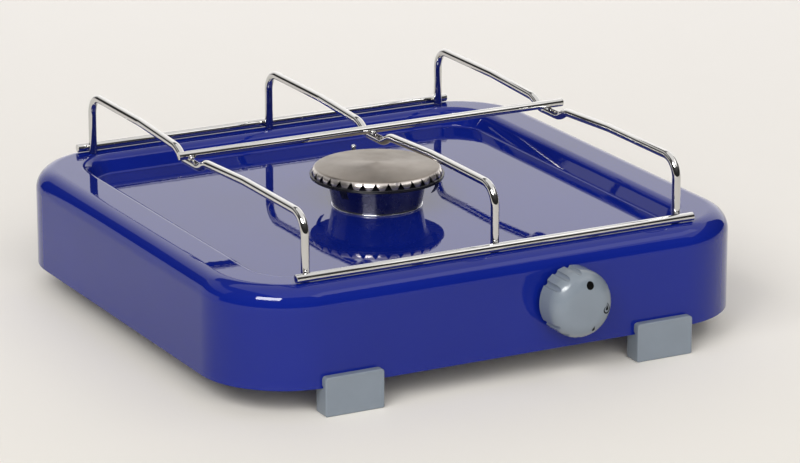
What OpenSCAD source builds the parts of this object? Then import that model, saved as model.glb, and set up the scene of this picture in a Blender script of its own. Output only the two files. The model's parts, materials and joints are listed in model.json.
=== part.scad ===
// Single burner table-top gas stove: an enamelled steel body with a drip recess, a round burner,
// a wire pan support that lifts off, a gas tap with a flame-failure valve and four clip-on feet.
// Millimetres, +Z up, the front faces -Y, the origin is on the table under the middle of the body.

/* [Body] */
// Width of the body, left to right
body_w = 338; // [320:1:370]
// Depth of the body, front to back
body_d = 326; // [312:1:360]
// Height of the lower edge above the table
ground_gap = 16; // [13:0.5:24]
// Height from the lower edge to the rim
body_h = 58.7; // [56:0.1:72]
// Thickness of the enamelled sheet
sheet_t = 1; // [0.8:0.1:1.4]
// Corner radius seen from above
corner_r = 52.5; // [46:0.5:58]
// Rounding of the top edge
edge_r = 13; // [9:0.5:14]

/* [Drip recess] */
// Rim from the side walls to the mouth of the recess
rim_x = 27.5; // [25:0.5:36]
// Rim from the front and rear walls to the mouth of the recess
rim_y = 22; // [21.5:0.5:30]
// Corner radius of the mouth
recess_corner_r = 30; // [26:0.5:40]
// Depth of the recess below the rim
recess_depth = 10.9; // [9:0.1:14]
// Rounding where the rim turns down
recess_lip_r = 8; // [4:0.5:10]
// Rounding where the wall meets the floor
recess_fillet_r = 5; // [3:0.5:7]
// Steepness of the recess wall in degrees
recess_slope = 75; // [60:1:80]

/* [Pan support] */
// Wire diameter
wire_d = 5; // [4:0.5:5.5]
// Distance of the outer arches from the side walls
arch_inset = 48.5; // [47:0.5:70]
// Distance of the leg axes from the front and rear walls
leg_inset = 18; // [17.5:0.5:18.5]
// Height of the arch tops over the rails, axis to axis
arch_h = 34.2; // [28:0.1:60]
// Bend radius of the arches at the wire axis
wire_bend_r = 12; // [6:0.5:14]
// Length of the straight wires past the outer arches
wire_overhang = 8.5; // [5:0.5:14]
// Half length of the dip under the cross rod
dip_run = 23.5; // [20:0.5:30]
// Half length of the dip's flat bottom
dip_flat = 8; // [4:0.5:9]
// Depth of the cross rod below the tops of the arches, axis to axis
rod_sink = 2; // [0:0.1:3]
// Place of the cross rod, behind the middle
rod_back = 2; // [-6:0.5:6]
// Length of the leg ends below the rim
peg_len = 2.7; // [1.5:0.1:6]
// Radius of the weld beads
weld_r = 2; // [1.5:0.1:2.4]

/* [Burner] */
// Place of the burner, forwards of the middle
burner_forward = 1; // [0:0.5:6]
// Diameter of the seat ring
seat_ring_d = 55; // [52:0.5:60]
// Height of the seat ring
seat_ring_h = 0.9; // [0.6:0.1:3]
// Diameter of the cup at its bottom
cup_bottom_d = 54; // [46:0.5:56]
// Diameter of the cup under its flange
cup_top_d = 59.5; // [56:0.5:66]
// Height of the cup below its flange
cup_h = 18.4; // [14:0.1:24]
// Wall of the cup
cup_wall = 1.2; // [1:0.1:2]
// Diameter of the cap
cap_d = 79; // [76:0.1:86]
// Step inwards from the cap's lower edge to its shoulder, over the teeth
cap_shoulder_in = 3.6; // [2.5:0.1:5]
// Height of the toothed skirt
cap_skirt_h = 4.2; // [4:0.1:7]
// Rise of the domed top over the shoulder
cap_crown = 1.6; // [1:0.1:5]
// Thickness of the cap
cap_t = 0.8; // [0.6:0.1:1]
// Number of teeth round the cap
tooth_count = 32; // [24:1:40]
// Width of the gap between two teeth at the flange
tooth_gap_w = 4.2; // [3:0.1:5]
// Height of the gap between two teeth
tooth_gap_h = 3.3; // [2:0.1:3.5]
// Number of tabs that grip the flange
tab_count = 4; // [3:1:6]
// Width of a tab
tab_w = 4.6; // [3:0.1:6]
// Outside diameter of the neck through the pan
neck_d = 36; // [32:0.5:42]
// Wall of the neck
neck_wall = 2; // [1.5:0.1:3]
// Width across the flats of the lock nut
lock_nut_af = 50; // [46:0.5:60]

/* [Mixing tube] */
// Outside diameter of the mixing tube
mix_d = 22; // [18:0.5:24]
// Wall of the mixing tube and its riser
mix_wall = 1.2; // [0.8:0.1:1.6]
// Thickness of the wall round the jet holder
mouth_wall = 3; // [2:0.5:4]
// Length of an air window
window_len = 14; // [10:0.5:18]
// Height of an air window
window_h = 9; // [6:0.5:11]
// Diameter of the jet holder
holder_d = 12; // [10:0.5:14]
// Length of the jet holder past its hexagon
holder_len = 11; // [9:0.5:14]
// Diameter of the jet's thread
jet_d = 6; // [5:0.5:7]
// Length of the jet's thread
jet_thread = 5; // [4:0.5:7]
// Bore of the jet
jet_bore = 0.8; // [0.5:0.1:1.2]

/* [Knob] */
// Place of the knob, right of the middle
knob_right = 37; // [30:0.1:40]
// Height of the pan's underside over the knob's axis
knob_drop = 16.8; // [16.8:0.1:20]
// Diameter of the knob
knob_d = 40; // [36:0.5:46]
// Length of the knob
knob_len = 20.6; // [16:0.1:24]
// Gap between the knob and the front wall
knob_gap = 3.4; // [3.4:0.1:6]
// Rise of the domed face
knob_crown = 1.2; // [0.6:0.1:3]
// Rounding of the front edge
knob_edge_r = 5; // [2:0.5:6]
// Wall of the hollow knob
knob_wall = 2.2; // [1.6:0.1:3]
// Diameter of the hub
hub_d = 13; // [12:0.5:15]
// Diameter of a grip groove
groove_d = 3; // [1.4:0.1:3.4]
// Angle between two grooves of one group
groove_step = 24; // [14:1:30]
// Angle of the first group of grooves, seen from the front
groove_turn = 0; // [0:1:60]

/* [Gas tap] */
// Inward travel of the knob and spindle
push_travel = 3; // [2:0.1:3]
// Diameter of the spindle
spindle_d = 8; // [7:0.1:9]
// Distance of the spindle's flat from its axis
spindle_flat = 2.8; // [2.4:0.1:3.4]
// Thickness of the tap's front plate
bonnet_t = 3; // [2:0.5:4]
// Diameter of the tap's barrel
barrel_d = 25; // [24:0.5:28]
// Diameter of the spring chamber
chamber_d = 16.4; // [16:0.1:18]
// Length of the spindle spring
spindle_spring_len = 15; // [12:0.5:20]
// Front diameter of the tapered plug
plug_d = 15.4; // [14.5:0.1:15.8]
// Loss of the plug's diameter along its length
plug_taper = 3; // [2:0.1:4]
// Length of the plug
plug_len = 20; // [18.5:0.5:26]
// Diameter of the flame-failure chamber
safety_bore_d = 18; // [17:0.1:19]
// Diameter of the flame-failure valve's disc
safety_disc_d = 13; // [11:0.5:14]
// Length of the flame-failure spring
safety_spring_len = 8.5; // [7:0.5:12]
// Distance between the two tap screws
screw_pitch = 24; // [23:0.5:25]
// Diameter of the tap screws
screw_d = 4; // [3:0.5:4.5]

/* [Gas line] */
// Diameter of the feed pipe
feed_d = 8; // [6:0.5:9]
// Bend radius of the feed pipe
feed_bend_r = 16; // [12:0.5:20]
// Diameter of the jet pipe
jet_pipe_d = 6; // [5:0.5:7]
// Bend radius of the jet pipe
jet_bend_r = 9.5; // [8:0.5:9.5]
// Wall of both pipes
pipe_wall = 1; // [0.6:0.1:1.4]
// Length of the side ports from the tap's axis
port_reach = 16; // [15:0.5:17]
// Length of a pipe nut
pipe_nut_len = 8; // [6:0.5:9]
// Distance of the hose connection from the knob's axis, to the right
inlet_off = 48; // [46:0.1:60]
// Outside diameter of the hose connection's thread
inlet_d = 13.16; // [12:0.02:17]
// Length of the hose connection's thread
inlet_thread = 16; // [10:0.5:20]
// Thickness of the hexagon behind the thread
inlet_hex_t = 8; // [4:0.5:10]

/* [Thermocouple] */
// Place of the probe, right of the middle
probe_right = 9; // [4:0.5:9]
// Place of the probe behind the middle
probe_back = 47; // [46:0.5:56]
// Height of the probe's tip over the floor of the recess
probe_h = 23.7; // [16:0.1:28]
// Diameter of the probe
probe_d = 3.2; // [2.5:0.1:4]
// Diameter of the probe's sleeve
sleeve_d = 6; // [5:0.5:7]
// Diameter of the copper lead
lead_d = 2.2; // [1.5:0.1:3]
// Bend radius of the lead
lead_bend_r = 8; // [6:0.5:8]

/* [Feet] */
// Distance of a foot's middle from the side wall
foot_inset = 68; // [67:0.1:90]
// Width of a foot
foot_w = 37; // [28:0.5:40]
// Height of a foot's outer plate
foot_h = 23.2; // [20:0.1:30]
// Thickness of the outer plate
foot_plate = 4.6; // [2:0.1:5]
// Thickness of the lug behind the wall
foot_lug = 3.2; // [2:0.1:3.4]
// Depth of the block under the wall, with the outer plate
foot_block = 9.7; // [9.7:0.1:18]
// Corner radius of the outer plate
foot_r = 2; // [0.5:0.5:4]

/* [Clearances] */
// Gap between pieces that move against each other
run_gap = 0.3; // [0.2:0.05:0.4]
// Radial gap of a turning or sliding fit
fit_gap = 0.05; // [0.03:0.01:0.1]
// Radial gap of a hole round a leg or a screw
hole_gap = 0.3; // [0.2:0.05:0.4]

/* [Hidden] */
$fn = 64;
// Sides of the large circles behind the shallow domes of the cap and the knob
dome_sides = 720;
// Length by which a cutting tool passes the face that it cuts
cut = 1;

// Body
front_y = -body_d / 2;
rear_y = body_d / 2;
rim_z = ground_gap + body_h;
floor_z = rim_z - recess_depth;
under_z = floor_z - sheet_t;
mouth_x = body_w / 2 - rim_x;
mouth_y = body_d / 2 - rim_y;
// The two roundings of the recess share its depth when it is shallow
recess_turn = (recess_lip_r + recess_fillet_r) * (1 - cos(recess_slope));
recess_fit = min(1, recess_depth / recess_turn);
lip_r = recess_lip_r * recess_fit;
fillet_r = max(recess_fillet_r * recess_fit, 0.1);
recess_wall = max(0, recess_depth - (lip_r + fillet_r) * (1 - cos(recess_slope))) / sin(recess_slope);
recess_run = (lip_r + fillet_r) * sin(recess_slope) + recess_wall * cos(recess_slope);
pan_x = mouth_x - recess_run;
pan_y = mouth_y - recess_run;
pan_r = recess_corner_r - recess_run;

// Pan support
arch_pitch = body_w / 2 - arch_inset;
rail_z = rim_z + run_gap + wire_d / 2;
arch_z = rail_z + arch_h;
leg_y = body_d / 2 - leg_inset;
rail_y = leg_y + wire_d + fit_gap;
rail_len = 2 * (arch_pitch + wire_overhang);
dip_drop = wire_d + fit_gap + rod_sink;
dip_side = dip_run - dip_flat;
// The dip's ends reach into the straight wire and lie just inside its skin
dip_tuck = 2;
dip_wire_r = wire_d / 2 - 0.02;

// Burner
burner_y = -burner_forward;
cup_z = floor_z + seat_ring_h;
flange_z = cup_z + cup_h;
flange_t = 1;
flange_d = cap_d + 1;
cap_shoulder_d = cap_d - 2 * cap_shoulder_in;
cap_z = flange_z + flange_t;
cap_shoulder_z = cap_z + cap_skirt_h;
neck_bore = neck_d - 2 * neck_wall;
// The neck and its lock nut end above the mixing tube
neck_z = under_z - knob_drop + mix_d / 2 + run_gap;
lock_nut_h = under_z - neck_z - run_gap;
tooth_pitch = 360 / tooth_count;
// Reach of the gaps between the teeth, inwards from the shoulder
tooth_cut = 6;
tab_turn = 33;
tab_t = 0.8;
// The riser stops below the floor of the recess and reaches below the mixing tube
riser_top_gap = 2;
riser_bottom_gap = 1;

// Gas tap, measured inwards from the outside of the front wall
valve_x = knob_right;
valve_z = under_z - knob_drop;
bonnet_end = sheet_t + bonnet_t;
collar_t = 2;
collar_d = 13;
collar_start = bonnet_end + run_gap;
collar_end = collar_start + collar_t;
spring_start = collar_end + run_gap;
spindle_spring_d = 11.5;
spindle_spring_wire = 1.2;
spindle_spring_turns = 6;
plug_start = spring_start + spindle_spring_len + run_gap;
plug_end = plug_start + plug_len;
plug_end_d = plug_d - plug_taper;
plug_bore = 7;
plug_bore_len = 9;
passage_d = 9;
passage_len = 3;
seat_t = plug_end + run_gap + passage_len;
disc_start = seat_t + run_gap;
disc_t = 2.5;
stem_plate_t = 1;
stem_plate_d = 11;
stem_d = 3;
stem_start = disc_start + disc_t;
safety_spring_start = stem_start + stem_plate_t + run_gap;
safety_spring_d = 6.5;
safety_spring_wire = 0.8;
safety_spring_turns = 5;
can_start = safety_spring_start + safety_spring_len + run_gap;
can_wall = 1.2;
armature_t = 1.5;
armature_d = 9;
armature_inset = 7;
armature_start = can_start + can_wall + armature_inset;
core_start = armature_start + armature_t + push_travel + run_gap;
core_len = 4.6;
can_end = core_start + core_len + can_wall;
can_d = safety_bore_d - 2 * run_gap;
can_grip = 8;
valve_end = can_start + can_grip;
can_flange_t = 2;
can_flange_d = safety_bore_d + 4;
stub_d = 9;
stub_len = 8;
stub_end = can_end + stub_len;
rod_d = 4;
rod_end = disc_start - run_gap;
tongue_t = 3;
tongue_w = 7;
tongue_lead = 7;
tongue_depth = 3;
tongue_start = plug_start - tongue_lead;
tongue_end = plug_start + tongue_depth;
outlet_t = plug_end - plug_bore_len / 2;
outlet_bore = 4;
inlet_back = 6;
inlet_t = seat_t + inlet_back;
inlet_bore = 6;
port_d = 13;
bonnet_margin = 7;
bonnet_w = screw_pitch + 2 * bonnet_margin;
bonnet_h = barrel_d + 1;
bonnet_corner_r = 6;
ear_t = 8;
screw_head_d = 7;
screw_head_h = 2.2;
screw_slot_w = 1;
screw_slot_depth = 1;
screw_len = bonnet_end + ear_t - 1;
spindle_hole_d = spindle_d + 4;
magnet_nut_d = barrel_d + 2 * fit_gap;
magnet_nut_af = barrel_d + 4;
magnet_nut_grip = 6;
magnet_nut_lip = 1.5;

// Knob, measured outwards from the outside of the front wall
knob_r = knob_d / 2;
knob_face_r = (knob_r * knob_r + knob_crown * knob_crown) / (2 * knob_crown);
knob_edge_x = knob_r - knob_edge_r;
knob_edge_h = knob_len - knob_face_r + sqrt(pow(knob_face_r - knob_edge_r, 2) - pow(knob_edge_x, 2));
knob_tangent_x = knob_edge_x * knob_face_r / (knob_face_r - knob_edge_r);
knob_top_t = 3;
hub_bore_len = knob_len - knob_crown - knob_top_t;
groove_len = 0.85 * knob_len;
groove_axis_r = knob_r + groove_d / 10;
clip_t = 0.4;
clip_w = 4;
clip_gap = clip_t + 2 * fit_gap;

// Gas line
inlet_x = valve_x + inlet_off;
jet_pipe_y = front_y + outlet_t;
jet_bend_end = jet_pipe_y + jet_bend_r;
holder_nut_start = jet_bend_end + 1.5;
holder_start = holder_nut_start + pipe_nut_len;
holder_hex_len = 6;
holder_hex_af = holder_d + 2;
jet_head_af = jet_d + 2;
jet_head = 3;
jet_nose = 2;
mouth_start = holder_start + holder_hex_len;
holder_end = mouth_start + holder_len;
feed_y = front_y + inlet_t;
pipe_nut_af = 13;
jet_nut_af = 11;
inlet_body = 16;
inlet_body_d = inlet_d - 0.3;
inlet_socket = 10;
inlet_nut_t = 6;
inlet_hex_af = 17;
inlet_nut_af = 19;

// Thermocouple
probe_x = probe_right;
probe_y = probe_back;
sleeve_above = 6;
sleeve_below = 8;
sleeve_top = floor_z + sleeve_above;
sleeve_bottom = under_z - sleeve_below;
sleeve_collar_d = sleeve_d + 4;
sleeve_collar_t = 1.5;
probe_nut_h = 5;
probe_nut_af = 10;
union_af = 12;
union_grip = 5;
union_end = stub_end + 4;
lead_end = stub_end + 0.2;

// Feet
foot_off = body_w / 2 - foot_inset;

// A sector of a flat ring between two angles up to a quarter turn apart
module ring_sector(outer, inner, a0, a1) {
    reach = 2 * outer;
    intersection() {
        difference() {
            circle(outer);
            circle(inner);
        }
        polygon([[0, 0], [reach * cos(a0), reach * sin(a0)], [reach * cos(a1), reach * sin(a1)]]);
    }
}

// A rectangle with round corners, given by its half sizes
module round_rect(hx, hy, r) {
    square([2 * hx, 2 * (hy - r)], center = true);
    for (side = [-1, 1]) {
        translate([0, side * (hy - r / 2)]) square([2 * (hx - r), r], center = true);
        for (end = [-1, 1]) {
            translate([end * (hx - r), side * (hy - r)]) intersection() {
                circle(r);
                translate([end * r / 2, side * r / 2]) square(r, center = true);
            }
        }
    }
}

// Carries a profile round a rectangle with round corners: its x is measured from the corner's centre
module sweep_round_rect(hx, hy, r) {
    for (q = [0 : 3]) {
        right = (q == 0 || q == 3) ? 1 : -1;
        back = q < 2 ? 1 : -1;
        translate([right * (hx - r), back * (hy - r), 0])
            rotate([0, 0, 90 * q])
                rotate_extrude(angle = 90) children();
        reach = q % 2 == 0 ? hx - r : hy - r;
        half = q % 2 == 0 ? hy - r : hx - r;
        rotate([0, 0, 90 * q])
            translate([reach, half, 0])
                rotate([90, 0, 0])
                    linear_extrude(2 * half) children();
    }
}

// A round bar between two heights
module bar(z0, z1, d) {
    translate([0, 0, z0]) cylinder(h = z1 - z0, d = d);
}

// A hexagonal bar between two heights
module hex_bar(z0, z1, across) {
    translate([0, 0, z0]) cylinder(h = z1 - z0, d = across / cos(30), $fn = 6);
}

// A hexagonal nut between two heights
module hex_nut(z0, z1, across, hole) {
    difference() {
        hex_bar(z0, z1, across);
        bar(z0 - cut, z1 + cut, hole);
    }
}

// A round stretch of wire or pipe in the XY plane, about the origin
module elbow(r, d, a0, a1) {
    rotate([0, 0, a0]) rotate_extrude(angle = a1 - a0) translate([r, 0]) circle(d = d);
}

// Stands a shape's Z axis on the tap's axis, from the outside of the front wall inwards
module on_tap() {
    translate([valve_x, front_y, valve_z]) rotate([-90, 0, 0]) children();
}

// Stands a shape's Z axis on the hose connection, from the outside of the rear wall outwards
module on_inlet() {
    translate([inlet_x, rear_y, valve_z]) rotate([-90, 0, 0]) children();
}

// Lays a shape's Z axis along +Y, on the axis of the mixing tube
module on_mixing_axis() {
    translate([0, 0, valve_z]) rotate([-90, 0, 0]) children();
}

// Lays a shape's Z axis along +X
module along_x() {
    rotate([0, 90, 0]) children();
}

// Cross-section of the side wall and the rounded top edge
module wall_profile() {
    translate([corner_r - sheet_t, ground_gap]) square([sheet_t, body_h - edge_r]);
    translate([corner_r - edge_r, rim_z - edge_r]) ring_sector(edge_r, edge_r - sheet_t, 0, 90);
}

// Cross-section of the recess: lip, steep wall and fillet
module recess_profile() {
    turn = 90 + recess_slope;
    out = [cos(turn), sin(turn)];
    down = [-sin(turn), cos(turn)];
    lip = [recess_corner_r, rim_z - lip_r];
    top = lip + lip_r * out;
    foot = top + recess_wall * down;
    translate(lip) ring_sector(lip_r, lip_r - sheet_t, 90, turn);
    polygon([top, foot, foot - sheet_t * out, top - sheet_t * out]);
    translate(foot + fillet_r * out) ring_sector(fillet_r + sheet_t, fillet_r, 270, 180 + turn);
}

module body_shell() {
    color("mediumblue") difference() {
        union() {
            sweep_round_rect(body_w / 2, body_d / 2, corner_r) wall_profile();
            translate([0, 0, rim_z - sheet_t]) linear_extrude(sheet_t) difference() {
                round_rect(body_w / 2 - edge_r, body_d / 2 - edge_r, corner_r - edge_r);
                round_rect(mouth_x, mouth_y, recess_corner_r);
            }
            sweep_round_rect(mouth_x, mouth_y, recess_corner_r) recess_profile();
            translate([0, 0, under_z]) linear_extrude(sheet_t) round_rect(pan_x, pan_y, pan_r);
        }
        for (i = [-1 : 1], side = [-1, 1]) {
            translate([i * arch_pitch, side * leg_y, 0])
                bar(rim_z - sheet_t - cut, rim_z + cut, wire_d + 2 * hole_gap);
        }
        translate([0, burner_y, 0]) bar(under_z - cut, floor_z + cut, neck_d + 2 * hole_gap);
        translate([probe_x, probe_y, 0]) bar(under_z - cut, floor_z + cut, sleeve_d + 2 * hole_gap);
        on_tap() {
            bar(-cut, sheet_t + cut, spindle_hole_d);
            for (side = [-1, 1]) {
                translate([side * screw_pitch / 2, 0, 0]) bar(-cut, sheet_t + cut, screw_d + 2 * hole_gap);
            }
        }
        on_inlet() bar(-sheet_t - cut, cut, inlet_body_d + 2 * hole_gap);
    }
}

// A foot at the outside of the front wall, seen from the wall's outer face
module foot() {
    out = foot_plate + fit_gap;
    rotate([90, 0, 0]) translate([0, foot_h / 2, fit_gap]) linear_extrude(foot_plate)
        round_rect(foot_w / 2, foot_h / 2, foot_r);
    translate([-foot_w / 2 + foot_r, -out, 0]) cube([foot_w - 2 * foot_r, foot_block, ground_gap]);
    translate([-foot_w / 4, sheet_t + 4 * fit_gap, 0]) cube([foot_w / 2, foot_lug, foot_h]);
}

module foot_front_left() {
    color("slategray") translate([-foot_off, front_y, 0]) foot();
}

module foot_front_right() {
    color("slategray") translate([foot_off, front_y, 0]) foot();
}

module foot_rear_left() {
    color("slategray") translate([-foot_off, rear_y, 0]) rotate([0, 0, 180]) foot();
}

module foot_rear_right() {
    color("slategray") translate([foot_off, rear_y, 0]) rotate([0, 0, 180]) foot();
}

// Way up the side of the dip at a distance from the cross rod: 0 at the bottom, 180 at the top
function dip_phase(u) = 180 * min(1, max(0, (abs(u) - dip_flat) / dip_side));
function dip_height(u) = arch_z - dip_drop * (1 + cos(dip_phase(u))) / 2;
function dip_slope(u) = sign(u) * atan(dip_drop * PI / (2 * dip_side) * sin(dip_phase(u)));

// Triangles of a tube whose points are rings of equal size, one after the other
function tube_faces(rings, sides) = concat(
    [
        for (i = [0 : rings - 2], k = [0 : sides - 1], half = [0, 1])
            let (n = (k + 1) % sides, p = i * sides, q = p + sides)
            half == 0 ? [p + k, p + n, q + k] : [p + n, q + n, q + k]
    ],
    [for (k = [1 : sides - 2]) [0, k + 1, k]],
    [for (k = [1 : sides - 2]) [(rings - 1) * sides, (rings - 1) * sides + k, (rings - 1) * sides + k + 1]]
);

// The smooth dip of an arch in the XY plane, under the cross rod at x = 0
module dip_wire() {
    sides = 16;
    steps = 28;
    places = concat(
        [-dip_run - dip_tuck],
        [for (i = [0 : steps]) dip_run * (2 * i / steps - 1)],
        [dip_run + dip_tuck]
    );
    points = [
        for (u = places, k = [0 : sides - 1])
            let (a = dip_slope(u), b = 360 * k / sides, up = dip_wire_r * cos(b))
            [u - up * sin(a), dip_height(u) + up * cos(a), -dip_wire_r * sin(b)]
    ];
    polyhedron(points, tube_faces(len(places), sides));
}

// Half of an arch in the XY plane: from the end of the dip to the leg at x = reach
module half_arch(reach) {
    translate([dip_run, arch_z, 0]) along_x() bar(0, reach - wire_bend_r - dip_run, wire_d);
    translate([reach - wire_bend_r, arch_z - wire_bend_r]) elbow(wire_bend_r, wire_d, 0, 90);
    translate([reach, 0, 0]) rotate([-90, 0, 0]) bar(rim_z - peg_len, arch_z - wire_bend_r, wire_d);
}

module arch(x) {
    color("silver") translate([x, rod_back, 0]) rotate([90, 0, 90]) {
        dip_wire();
        half_arch(leg_y - rod_back);
        mirror([1, 0, 0]) half_arch(leg_y + rod_back);
    }
}

module left_arch() {
    arch(-arch_pitch);
}

module middle_arch() {
    arch(0);
}

module right_arch() {
    arch(arch_pitch);
}

// A straight wire across the stove with a weld bead at each arch, off its axis by weld
module straight_wire(y, z, weld) {
    color("silver") translate([0, y, z]) {
        along_x() bar(-rail_len / 2, rail_len / 2, wire_d);
        for (i = [-1 : 1]) {
            translate([i * arch_pitch, weld[0], weld[1]]) sphere(weld_r);
        }
    }
}

module front_rail() {
    straight_wire(-rail_y, rail_z, [wire_d / 2, 0]);
}

module rear_rail() {
    straight_wire(rail_y, rail_z, [-wire_d / 2, 0]);
}

module cross_rod() {
    straight_wire(rod_back, arch_z - rod_sink, [0, -wire_d / 2]);
}

// Cross-section of the cap's outside or inside, smaller by the inset
module cap_section(inset) {
    shoulder = cap_shoulder_d / 2 - inset;
    dome_r = (pow(cap_shoulder_d / 2, 2) + cap_crown * cap_crown) / (2 * cap_crown) - inset;
    dome_z = cap_shoulder_z + cap_crown - inset - dome_r;
    shoulder_z = dome_z + sqrt(dome_r * dome_r - shoulder * shoulder);
    edge = cap_d / 2 - inset;
    // The skirt's line is carried on past the dome
    past = (cap_crown + cut) / (shoulder_z - cap_z);
    end = [shoulder, shoulder_z] + past * [shoulder - edge, shoulder_z - cap_z];
    intersection() {
        polygon([[0, cap_z], [edge, cap_z], end, [0, end[1]]]);
        translate([0, dome_z]) circle(dome_r, $fn = dome_sides);
    }
}

module burner_cap() {
    gap_foot = tooth_gap_w / 2 * (tooth_gap_h + cut) / tooth_gap_h;
    tab_out = flange_d / 2 + tab_t;
    tab_low = flange_z - 2 * tab_t;
    tab_top = cap_z + tab_t;
    color("tan") translate([0, burner_y, 0]) {
        difference() {
            rotate_extrude() difference() {
                cap_section(0);
                cap_section(cap_t);
                translate([0, cap_z - cut]) square([cap_d / 2 - cap_t, cut]);
            }
            for (i = [0 : tooth_count - 1]) {
                rotate([0, 0, tab_turn + (i + 0.5) * tooth_pitch])
                    translate([cap_shoulder_d / 2 - tooth_cut, 0, cap_z])
                        rotate([90, 0, 90])
                            linear_extrude(tooth_cut + cap_shoulder_in + cut)
                                polygon([[-gap_foot, -cut], [gap_foot, -cut], [0, tooth_gap_h]]);
            }
        }
        for (i = [0 : tab_count - 1]) {
            rotate([0, 0, tab_turn + round(i * tooth_count / tab_count) * tooth_pitch]) {
                translate([flange_d / 2 + fit_gap, -tab_w / 2, tab_low])
                    cube([tab_out - flange_d / 2 - fit_gap, tab_w, tab_top - tab_low]);
                for (z = [tab_low, cap_z + fit_gap]) {
                    translate([flange_d / 2 - 2 * tab_t, -tab_w / 2, z])
                        cube([tab_out - flange_d / 2 + 2 * tab_t, tab_w, tab_t - fit_gap]);
                }
            }
        }
    }
}

module burner_cup() {
    base = cup_z + cup_wall;
    color("midnightblue") translate([0, burner_y, 0]) rotate_extrude() polygon([
        [neck_bore / 2, neck_z], [neck_d / 2, neck_z],
        [neck_d / 2, cup_z], [cup_bottom_d / 2, cup_z], [cup_top_d / 2, flange_z],
        [flange_d / 2, flange_z], [flange_d / 2, cap_z], [cup_top_d / 2 - cup_wall, cap_z],
        [cup_bottom_d / 2 - cup_wall, base], [neck_bore / 2, base]
    ]);
}

module burner_seat_ring() {
    color("gainsboro") translate([0, burner_y, 0]) difference() {
        bar(floor_z, cup_z, seat_ring_d);
        bar(floor_z - cut, cup_z + cut, neck_d + 2 * fit_gap);
    }
}

module burner_lock_nut() {
    color("gray") translate([0, burner_y, 0])
        hex_nut(under_z - lock_nut_h, under_z, lock_nut_af, neck_d + 2 * fit_gap);
}

module mixing_tube() {
    riser_d = neck_bore - 2 * fit_gap;
    riser_bottom = valve_z - mix_d / 2 - riser_bottom_gap;
    bore = mix_d - 2 * mix_wall;
    color("lightslategray") difference() {
        union() {
            translate([0, burner_y, 0]) bar(riser_bottom, floor_z - riser_top_gap, riser_d);
            on_mixing_axis() bar(mouth_start, burner_y, mix_d);
        }
        translate([0, burner_y, 0]) bar(riser_bottom + mix_wall, floor_z, riser_d - 2 * mix_wall);
        on_mixing_axis() {
            bar(mouth_start + mouth_wall, burner_y, bore);
            bar(mouth_start - cut, mouth_start + mouth_wall + cut, holder_d + 2 * fit_gap);
        }
        translate([-mix_d, mouth_start + 2 * mouth_wall, valve_z - window_h / 2])
            cube([2 * mix_d, window_len, window_h]);
    }
}

module jet_holder() {
    color("goldenrod") on_mixing_axis() difference() {
        union() {
            hex_bar(holder_start, mouth_start, holder_hex_af);
            bar(holder_start, holder_end, holder_d);
        }
        bar(holder_start - cut, holder_end + cut, outlet_bore);
        bar(holder_end - jet_thread, holder_end + cut, jet_d + 2 * fit_gap);
    }
}

module injector_jet() {
    color("gold") on_mixing_axis() difference() {
        union() {
            bar(holder_end - jet_thread, holder_end, jet_d);
            hex_bar(holder_end, holder_end + jet_head, jet_head_af);
            translate([0, 0, holder_end + jet_head]) cylinder(h = jet_nose, d1 = jet_d, d2 = jet_d / 2);
        }
        bar(holder_end - jet_thread - cut, holder_end + jet_head, jet_d / 2);
        bar(holder_end, holder_end + jet_head + jet_nose + cut, jet_bore);
    }
}

module inlet_connector() {
    color("goldenrod") on_inlet() difference() {
        union() {
            bar(-inlet_body, 0, inlet_body_d);
            hex_bar(0, inlet_hex_t, inlet_hex_af);
            bar(inlet_hex_t, inlet_hex_t + inlet_thread, inlet_d);
        }
        bar(-inlet_body - cut, inlet_hex_t + inlet_thread + cut, inlet_bore);
        bar(-inlet_body - cut, -inlet_body + inlet_socket, feed_d + 2 * fit_gap);
    }
}

module inlet_lock_nut() {
    color("gray") on_inlet()
        hex_nut(-sheet_t - inlet_nut_t, -sheet_t, inlet_nut_af, inlet_body_d + 2 * fit_gap);
}

// The feed pipe's path from the tap's right-hand port to the hose connection
module feed_path(d, past) {
    start = valve_x + port_reach;
    end = rear_y - inlet_body + inlet_socket;
    translate([0, feed_y, valve_z]) {
        translate([start - past, 0, 0]) along_x() bar(0, inlet_x - feed_bend_r - start + past, d);
        translate([inlet_x - feed_bend_r, feed_bend_r, 0]) elbow(feed_bend_r, d, -90, 0);
        translate([inlet_x, feed_bend_r, 0]) rotate([-90, 0, 0]) bar(0, end - feed_y - feed_bend_r + past, d);
    }
}

module feed_pipe() {
    color("silver") difference() {
        feed_path(feed_d, 0);
        feed_path(feed_d - 2 * pipe_wall, cut);
    }
}

module feed_pipe_nut() {
    start = valve_x + port_reach;
    color("goldenrod") translate([0, feed_y, valve_z]) along_x()
        hex_nut(start, start + pipe_nut_len, pipe_nut_af, feed_d + 2 * fit_gap);
}

// The jet pipe's path from the tap's left-hand port to the jet holder
module jet_path(d, past) {
    start = valve_x - port_reach;
    translate([0, jet_pipe_y, valve_z]) {
        translate([jet_bend_r, 0, 0]) along_x() bar(0, start - jet_bend_r + past, d);
        translate([jet_bend_r, jet_bend_r, 0]) elbow(jet_bend_r, d, 180, 270);
        translate([0, jet_bend_r, 0]) rotate([-90, 0, 0]) bar(0, holder_start - jet_bend_end + past, d);
    }
}

module jet_pipe() {
    color("silver") difference() {
        jet_path(jet_pipe_d, 0);
        jet_path(jet_pipe_d - 2 * pipe_wall, cut);
    }
}

module jet_pipe_nuts() {
    start = valve_x - port_reach;
    color("goldenrod") {
        translate([0, jet_pipe_y, valve_z]) along_x()
            hex_nut(start - pipe_nut_len, start, jet_nut_af, jet_pipe_d + 2 * fit_gap);
        on_mixing_axis() hex_nut(holder_nut_start, holder_start, jet_nut_af, jet_pipe_d + 2 * fit_gap);
    }
}

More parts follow.
